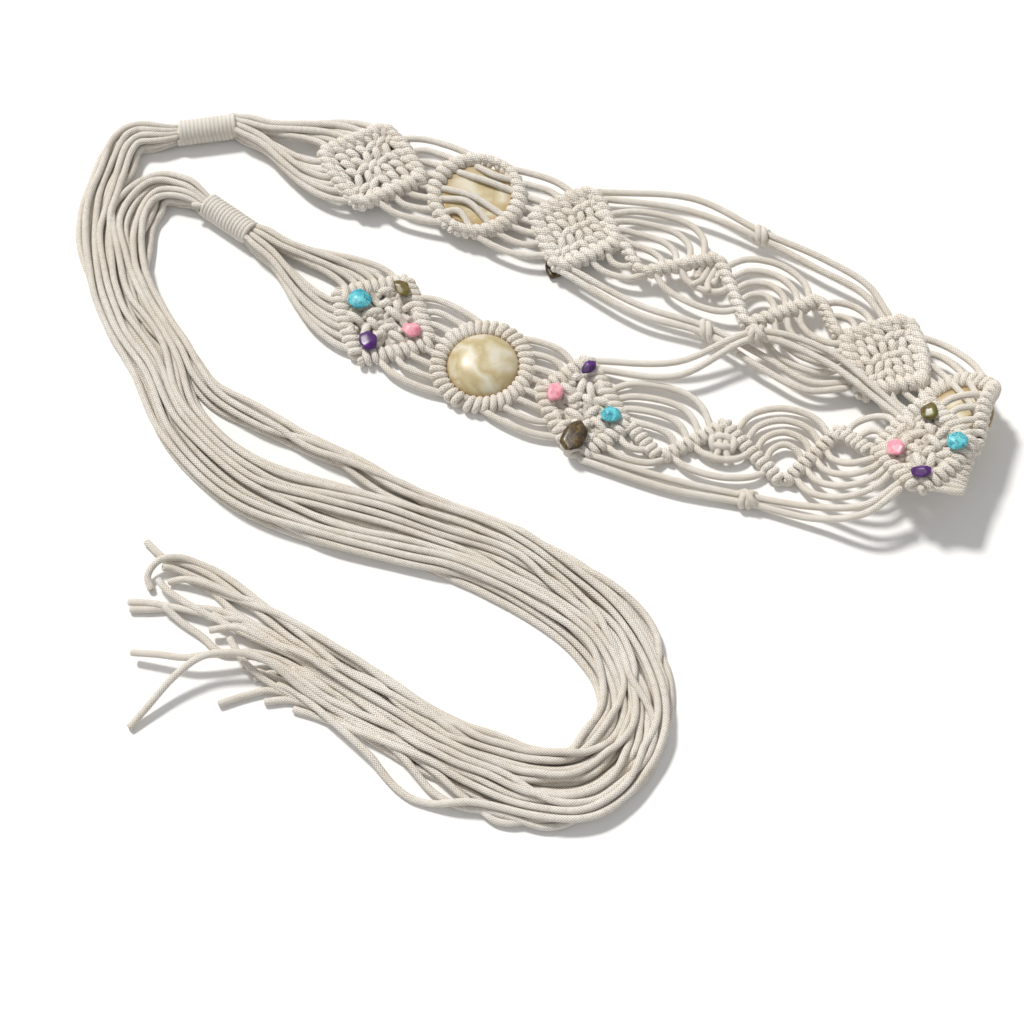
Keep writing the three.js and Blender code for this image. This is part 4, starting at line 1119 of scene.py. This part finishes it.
# The shared route: a place, and how many pitches to its left each bundle lies
TIE_ROUTE = [
    (-208, 137, [-1.7, -0.6, 0.55, 1.65]),
    (-200, 108, [-1.5, -0.5, 0.5, 1.5]),
    (-186, 80, [-1.5, -0.5, 0.5, 1.6]),
    (-164, 52, [-1.7, -0.7, 0.4, 2]),
    (-129, 24, [-2.2, -1.1, 0.1, 2.6]),
    (-91, 6, [-2.4, -1.2, 0.3, 2.3]),
    (-51, -10, [-1.8, -0.7, 0.6, 1.8]),
    (-12, -25, [-1.5, -0.5, 0.5, 1.5]),
    (16, -40, [-1.5, -0.5, 0.5, 1.5]),
    (43, -63, [-1.5, -0.5, 0.5, 1.5]),
    (57, -88, [-1.6, -0.53, 0.53, 1.6]),
    (60, -112, [-1.65, -0.55, 0.55, 1.65]),
    (52, -133, [-1.68, -0.56, 0.56, 1.68]),
    (34, -147, [-1.68, -0.56, 0.56, 1.68]),
    (8, -147, [-1.65, -0.55, 0.55, 1.65]),
    (-15, -137, [-1.6, -0.53, 0.53, 1.6]),
    (-39, -124, [-1.5, -0.5, 0.5, 1.5]),
    (-68, -106, [-1.5, -0.5, 0.5, 1.5]),
    (-97, -89, [-1.5, -0.5, 0.5, 1.6]),
    (-121, -75, [-1.7, -0.6, 0.5, 1.8]),
    (-145, -61, [-2, -0.8, 0.6, 2.1]),
    (-170, -47, [-2.2, -0.9, 0.8, 2.6]),
]
STRANDS = 6  # in each bundle
STRAND = 1.93  # half of the way from one strand to the next that lies on it
# A strand's seat in its bundle, aside and up: three layers of two
STRAND_SEATS = [(-2.1, 1.9), (2.1, 1.9), (-1.2, 5.2), (2.9, 5.2), (-2.8, 8.6), (1.3, 8.6)]
# How the strands lie in their bundles' lanes: at which row of the route, how close together, as a share of
# the pitch of the bundles, and how far inwards
TIE_LANES = [
    (-4, 0.88, 0),
    (-3, 0.88, 4.5),
    (-1, 0.86, 4.5),
    (0, 0.8, 2.0),
    (1, 0.76, 5.0),
    (2, 0.72, 9.0),
    (3, 0.8, 0.5),
    (4, 0.88, -1.5),
    (5, 0.88, 0),
]
# A strand's seat in the wrap's mouth, aside and up. The two bundles of a half share the mouth side by side
MOUTH_ASIDES = {"outer": (-5.1, -1.7), "inner": (1.7, 5.1)}
MOUTH_HEIGHTS = (3.6, 7.0, 10.4)
MOUTH_BLEND = 46.0
MOUTH_INSIDE = 2  # points of a strand inside the wrap
MOUTH_SQUEEZE = 0.4  # how much closer the strands lie in the wrap
MOUTH_REACH = 14.0
MOUTH_ROW = {"front": 2, "back": 1}  # the row of a bundle's route that lies in the wrap's mouth
# How far inside the wrap a bundle's route starts, and on the front also a row before that
INSIDE_WRAP = 8.0
DEEP_INSIDE_WRAP = 16.0
# How far the strands sway, and in which waves of their length: each layer of a bundle, then each strand
LAYER_SWAY = 2.9
LAYER_WAVES = (2, 3, 5)
OWN_SWAY = 1.35
OWN_WAVES = (5, 9, 14)
PER_ROW = 14  # points of a strand from one row of the route to the next
START_ROWS = 7  # rows before the shared route, with one inside the wrap
# How strands settle: rounds, the last of which are calm, and what each round does, in shares of the way
SETTLE_ROUNDS = 110
CALM_ROUNDS = 30
SINK = 0.025  # in millimetres
HOMING = 0.01
PUSH = 0.4
SMOOTHING = 0.15
CALM_SMOOTHING = 0.06


def bundle_rows(half, beside, lane):
    """The route of one bundle: the middle line moved sideways by its lane, in pitches."""
    reaches = (-INSIDE_WRAP, SEAT_GAP, TIE_BUNDLE_DIAMETER)
    leaving = [wrap_place(half, WRAP_LENGTH + reach, 0)[:2] for reach in reaches]
    turning = [np.array(row, float) for row in TIE_STARTS[half]]
    if half == "front":
        leaving.insert(0, wrap_place(half, WRAP_LENGTH - DEEP_INSIDE_WRAP, 0)[:2])
    middle = np.array(leaving + turning + [row[:2] for row in TIE_ROUTE], float)
    row, close, inwards = np.transpose(TIE_LANES)
    rows = np.arange(len(middle)) - START_ROWS
    inwards = np.interp(rows, row, inwards) * np.where((rows < 0) & (half == "front"), 0, 1)
    lanes = np.array([beside] * START_ROWS + [row[2][lane] for row in TIE_ROUTE])
    aside = lanes * np.where(rows < 0, 1, np.interp(rows, row, close)) * TIE_PITCH + inwards
    way = unit(np.vstack([middle[1] - middle[0], middle[2:] - middle[:-2], middle[-1] - middle[-2]]))
    return middle + np.stack([-way[:, 1], way[:, 0]], axis=-1) * aside[:, None]


def wander(count, steps, reach, waves, seed):
    """Slow sideways drift for each strand: a few sines of the length with shaken heights and phases."""
    shake = np.random.default_rng(seed)
    t = np.linspace(0, 2 * np.pi, steps)
    total = np.zeros((count, steps))
    for wave in waves:
        size = shake.normal(0, 1, (count, 1))
        total += size * np.sin(wave * t + shake.uniform(0, 2 * np.pi, (count, 1)))
    return reach * total / np.sqrt(len(waves))


def settle(paths, radius):
    """Lets strands that run side by side come to rest. Each round sinks them a little, pulls them towards
    their route, pushes apart what overlaps, at the same station, and smooths the moves; the last rounds
    only push."""
    route = paths.copy()
    for turn in range(SETTLE_ROUNDS):
        calm = turn > SETTLE_ROUNDS - CALM_ROUNDS
        paths[..., 2] -= 0.0 if calm else SINK
        paths[..., :2] += HOMING * (route[..., :2] - paths[..., :2])
        apart = paths[:, None] - paths[None, :]
        far = np.linalg.norm(apart, axis=-1) + 1e-6
        push = np.maximum(2 * radius - far, 0) / far
        np.einsum("iin->in", push)[:] = 0
        paths += PUSH * np.sum(apart * push[..., None], axis=1)
        paths[..., 2] = np.maximum(paths[..., 2], radius)
        moved = paths - route
        bend = moved[:, 2:] + moved[:, :-2] - 2 * moved[:, 1:-1]
        moved[:, 1:-1] += (CALM_SMOOTHING if calm else SMOOTHING) * bend
        paths = route + moved
    return paths


def smooth_step(value):
    value = np.clip(value, 0, 1)
    return value * value * (3 - 2 * value)


def left_of(line):
    """Directions to the left of a line's points, level."""
    way = unit(np.gradient(line[:, :2], axis=0))
    return np.stack([-way[:, 1], way[:, 0]], axis=-1)


def tie_paths():
    """All strands, bundle by bundle: the bundle's line plus a seat in its section, which sways slowly with
    its layer. Near the wrap the seat is one in the wrap's mouth."""
    lines = [spline(bundle_rows(half, beside, b), PER_ROW) for b, (half, _, beside) in enumerate(TIE_BUNDLES)]
    steps = len(lines[0])
    sway = wander(len(lines) * len(MOUTH_HEIGHTS), steps, LAYER_SWAY, LAYER_WAVES, 5)
    own = wander(len(lines) * STRANDS, steps, OWN_SWAY, OWN_WAVES, 11)
    paths = []
    for b, (line, (half, where, beside)) in enumerate(zip(lines, TIE_BUNDLES)):
        side = left_of(line)
        at = lengths_along(line)
        share = smooth_step((at - at[MOUTH_ROW[half] * PER_ROW]) / MOUTH_BLEND)
        for k, (aside, height) in enumerate(STRAND_SEATS):
            layer, column = divmod(k, 2)
            mouth = MOUTH_ASIDES[where][column] - beside * TIE_PITCH
            free = aside + sway[b * len(MOUTH_HEIGHTS) + layer] + own[b * STRANDS + k]
            shift = mouth + share * (free - mouth)
            rise = MOUTH_HEIGHTS[layer] + share * (height - MOUTH_HEIGHTS[layer])
            paths.append(np.column_stack([line + side * shift[:, None], rise]))
    return np.array(paths)


# Where each strand ends: the station where it leaves the bundle, and its last places and heights
TIE_ENDS = [
    (25.2, [(-128, -54, 2), (-143, -44, 2), (-155, -38, 2), (-166, -34, 4), (-171, -34, 6)]),
    (25.2, [(-124, -64, 2), (-136, -56, 2), (-145, -47, 2), (-152, -41, 2), (-160, -37, 2)]),
    (25.7, [(-141, -37, 2), (-153, -31, 3), (-164, -28, 5), (-174, -31, 7), (-179, -38, 4), (-177, -44, 2)]),
    (25.7, [(-146, -38, 2), (-159, -31, 2), (-168, -29, 2), (-174, -25, 2), (-181, -18, 2)]),
    (26.2, [(-150, -44, 2)]),
    (24.7, [(-120, -56, 6), (-134, -50, 6), (-147, -44, 6), (-160, -40, 5), (-168, -40, 2)]),
    (24.2, [(-110, -79, 5), (-131, -69, 6), (-151, -58, 6), (-161, -52, 6), (-169, -46, 6), (-173, -41, 6)]),
    (24.7, [(-122, -68, 2), (-139, -57, 2), (-157, -54, 2), (-177, -55, 2), (-186, -55, 2)]),
    (24.7, [(-128, -62, 2), (-141, -61, 4), (-153, -58, 5), (-164, -55, 4), (-178, -52, 3), (-187, -51, 2)]),
    (24.2, [(-117, -73, 2), (-131, -65, 2), (-146, -58, 2)]),
    (24.2, [(-113, -77, 6), (-124, -71, 7), (-134, -67, 7), (-146, -68, 6)]),
    (25.2, [(-134, -66, 2)]),
    (23.7, [(-116, -84, 4), (-130, -82, 8), (-147, -83, 10), (-157, -84, 9), (-169, -82, 8), (-183, -80, 6)]),
    (23.7, [(-109, -83, 2), (-126, -78, 2), (-141, -78, 2), (-150, -70, 2), (-161, -62, 3), (-169, -55, 5)]),
    (23.2, [(-89, -110, 2), (-109, -99, 3), (-119, -93, 4), (-128, -86, 7), (-132, -81, 9), (-136, -74, 9)]),
    (23.2, [(-92, -104, 5), (-103, -94, 6), (-113, -86, 6), (-122, -83, 6)]),
    (22.7, [(-87, -105, 7), (-96, -99, 8), (-105, -92, 8)]),
    (23.2, [(-98, -88, 2), (-112, -88, 2), (-124, -92, 2)]),
    (23.7, [(-100, -100, 8), (-113, -90, 12), (-124, -85, 14), (-137, -84, 15),
            (-149, -86, 14), (-162, -95, 10), (-174, -108, 5), (-182, -117, 2)]),
    (23.2, [(-102, -102, 2), (-116, -98, 2), (-122, -99, 2), (-132, -102, 2), (-140, -105, 2)]),
    (23.2, [(-96, -106, 2), (-107, -103, 2), (-118, -104, 2)]),
    (23.7, [(-106, -96, 2), (-118, -90, 2), (-129, -86, 2)]),
    (23.2, [(-92, -112, 2), (-104, -108, 2)]),
    (23.7, [(-104, -100, 5), (-112, -96, 4)]),
]
# Strands that stray from their bundle: which, about which row, over how many, and how far aside
STRAYS = [(23, 22.8, 1.7, 14.0), (0, 15.5, 4.0, -6.0), (22, 12.0, 4.0, 4.0), (2, 11.5, 5.0, -4.0),
          (11, 14.0, 5.0, 7.0), (17, 18.0, 4.0, -7.0), (10, 20.0, 4.0, -6.0), (5, 18.5, 3.0, 8.0),
          (16, 19.5, 3.0, 7.0), (4, 21.5, 3.5, 7.0), (15, 16.0, 3.5, -7.0), (21, 19.0, 4.0, -6.0)]
STRAY_DROP = 10.0
RUN_STEP = 7.0
# How a strand swells out of the wrap: distances along it and shares of its radius
TIE_SLIM = ([0, 4, 12, 30], [0.7, 0.75, 0.9, 1.0])


def add_ties():
    """Each strand is a cord of its own: its settled run, then its own cut end."""
    paths = tie_paths()
    for strand, middle, spread, aside in STRAYS:
        row = np.arange(paths.shape[1]) / PER_ROW
        bump = aside * np.exp(-(((row - middle) / spread * 2) ** 2))
        paths[strand, :, :2] += left_of(paths[strand]) * bump[:, None]
        sunk = smooth_step(np.abs(bump) / STRAY_DROP - 0.4)
        paths[strand, :, 2] += sunk * (STRAND - paths[strand, :, 2])
    paths = settle(paths, STRAND)
    for b, (half, where, _) in enumerate(TIE_BUNDLES):
        bundle = f"tie_{half}_{where}"
        mouth = wrap_place(half, WRAP_LENGTH, WRAP_DIAMETER / 2)
        aside = unit(np.cross(UP, wrap_place(half, WRAP_LENGTH + 1, WRAP_DIAMETER / 2) - mouth))
        for k in range(STRANDS):
            leave, last = TIE_ENDS[b * STRANDS + k]
            first = MOUTH_ROW[half] * PER_ROW - MOUTH_INSIDE
            run = paths[b * STRANDS + k, first : int(leave * PER_ROW)]
            share = 1 - smooth_step(lengths_along(run) / MOUTH_REACH)[:, None]
            off = (run - mouth) @ np.array([aside, UP]).T
            run = run - MOUTH_SQUEEZE * share * (off @ np.array([aside, UP]))
            path = even(spline(np.vstack([even(run, RUN_STEP), last]), 6), 2.0)
            path[:, 2] = np.maximum(path[:, 2], STRAND)
            radius = CORD * np.interp(lengths_along(path), *TIE_SLIM)
            surface = tube(path, radius, end=CUT_END, before=rng.uniform(0, 40))
            piece = make_mesh(f"{bundle}_strand_{k + 1}", [surface])
            dress(piece, COTTON, "tie_cord", bundle)


# The band, piece by piece


def add_half(half):
    """The pieces between a half's wrap and the ring at the fold."""
    marks = MARKS[half]
    edges = {
        name: (marks[name + "_middle"], diamond_outline(length)) for name, (_, length, _) in DIAMONDS.items()
    }
    ring = (marks["ring_middle"], RING_OUTLINE)
    arcs = {
        "first": nested_arcs(half, edges["first"], ring),
        "third": nested_arcs(half, ring, edges["third"]),
        "fourth": nested_arcs(half, edges["fourth"], (marks["middle"], RING_OUTLINE), half == "front"),
    }
    for name, (number, length, turned) in DIAMONDS.items():
        middle = marks[name + "_middle"]
        cords = []
        for towards in (-1, 1):
            for side in (-1, 1):
                cords += diamond_border(half, middle, length / 2, towards, side)
        cords += field_front(half, middle, length / BAND_WIDTH, turned, [row[2:4] for row in CHIPS[name]])
        cords += field_back(half, middle, length / BAND_WIDTH, turned)
        knot_piece(f"diamond_{number}_{half}", cords + arcs[name])
        for i, row in enumerate(CHIPS[name]):
            add_chip(half, name, number * 10 + i + (100 if half == "back" else 0), *row)
    knot_piece(f"ring_{half}", ring_cords(half, marks["ring_middle"]))
    knot_piece(f"lattice_{half}", lattice_cords(half))
    knot_piece(f"fan_{half}", fan_cords(half))
    knot_piece(f"wrap_{half}", wrap_cords(half), WRAP_COTTON_PAINTED_LIGHTER)
    add_oval(f"oval_{half}", along(half, marks["ring_middle"]))


for half in FACE:
    add_half(half)
for half, name, side, out, rise, tuck in LOOSE_ROUTES:
    knot_piece(f"loose_{name}_{half}", loose_cords(half, name, side, out, rise, tuck))
knot_piece("ring_fold", ring_cords("front", MARKS["front"]["middle"]))
add_oval("oval_fold", MARKS["front"]["middle"])
add_ties()


# The stage: a pale floor, soft light and the camera at the photograph's angle
CAMERA_FAR = 1200.0
CAMERA_RISE = np.radians(62)
CAMERA_LENS = 84.4
SENSOR_WIDTH = 36.0
FLOOR_SIZE = 12.0
SUN_STRENGTH = 2.75
SUN_WAY = (0.44, -0.54, -0.92)
SUN_ANGLE = np.radians(9)
SUN_COLOUR = (1.0, 0.98, 0.95)
WORLD_COLOUR = (0.97, 0.98, 1.0, 1.0)
WORLD_STRENGTH = 0.47


def add_floor():
    bpy.ops.mesh.primitive_plane_add(size=FLOOR_SIZE, location=(0, 0, 0))
    floor = bpy.context.object
    floor.name = "floor"
    finish = Finish("pale_floor", {"Roughness": 0.9})
    tone = finish.mix(finish.noise(3.0, 2.0), colour("f6f5f3"), colour("f9f8f7"))
    floor.data.materials.append(finish.paint(Base_Color=tone))


def add_aimed(name, data, at, way, settings):
    """A sun or a camera that looks along a direction."""
    for key, value in settings.items():
        setattr(data, key, value)
    aimed = bpy.data.objects.new(name, data)
    bpy.context.collection.objects.link(aimed)
    aimed.location = at
    aimed.rotation_euler = Vector(way).to_track_quat("-Z", "Y").to_euler()
    return aimed


add_floor()
sun_settings = {"energy": SUN_STRENGTH, "angle": SUN_ANGLE, "color": SUN_COLOUR}
add_aimed("key", bpy.data.lights.new("key", "SUN"), (0, 0, 2), SUN_WAY, sun_settings)
camera_way = np.array([0, np.cos(CAMERA_RISE), -np.sin(CAMERA_RISE)])
camera_place = to_frame([0, 0, 0]) - camera_way * CAMERA_FAR * MM
camera_settings = {"lens": CAMERA_LENS, "sensor_width": SENSOR_WIDTH}
bpy.context.scene.camera = add_aimed(
    "camera", bpy.data.cameras.new("camera"), camera_place, camera_way, camera_settings
)
world = bpy.data.worlds.new("studio")
world.use_nodes = True
world.node_tree.nodes["Background"].inputs["Color"].default_value = WORLD_COLOUR
world.node_tree.nodes["Background"].inputs["Strength"].default_value = WORLD_STRENGTH
bpy.context.scene.world = world
bpy.context.scene.view_settings.view_transform = "Standard"
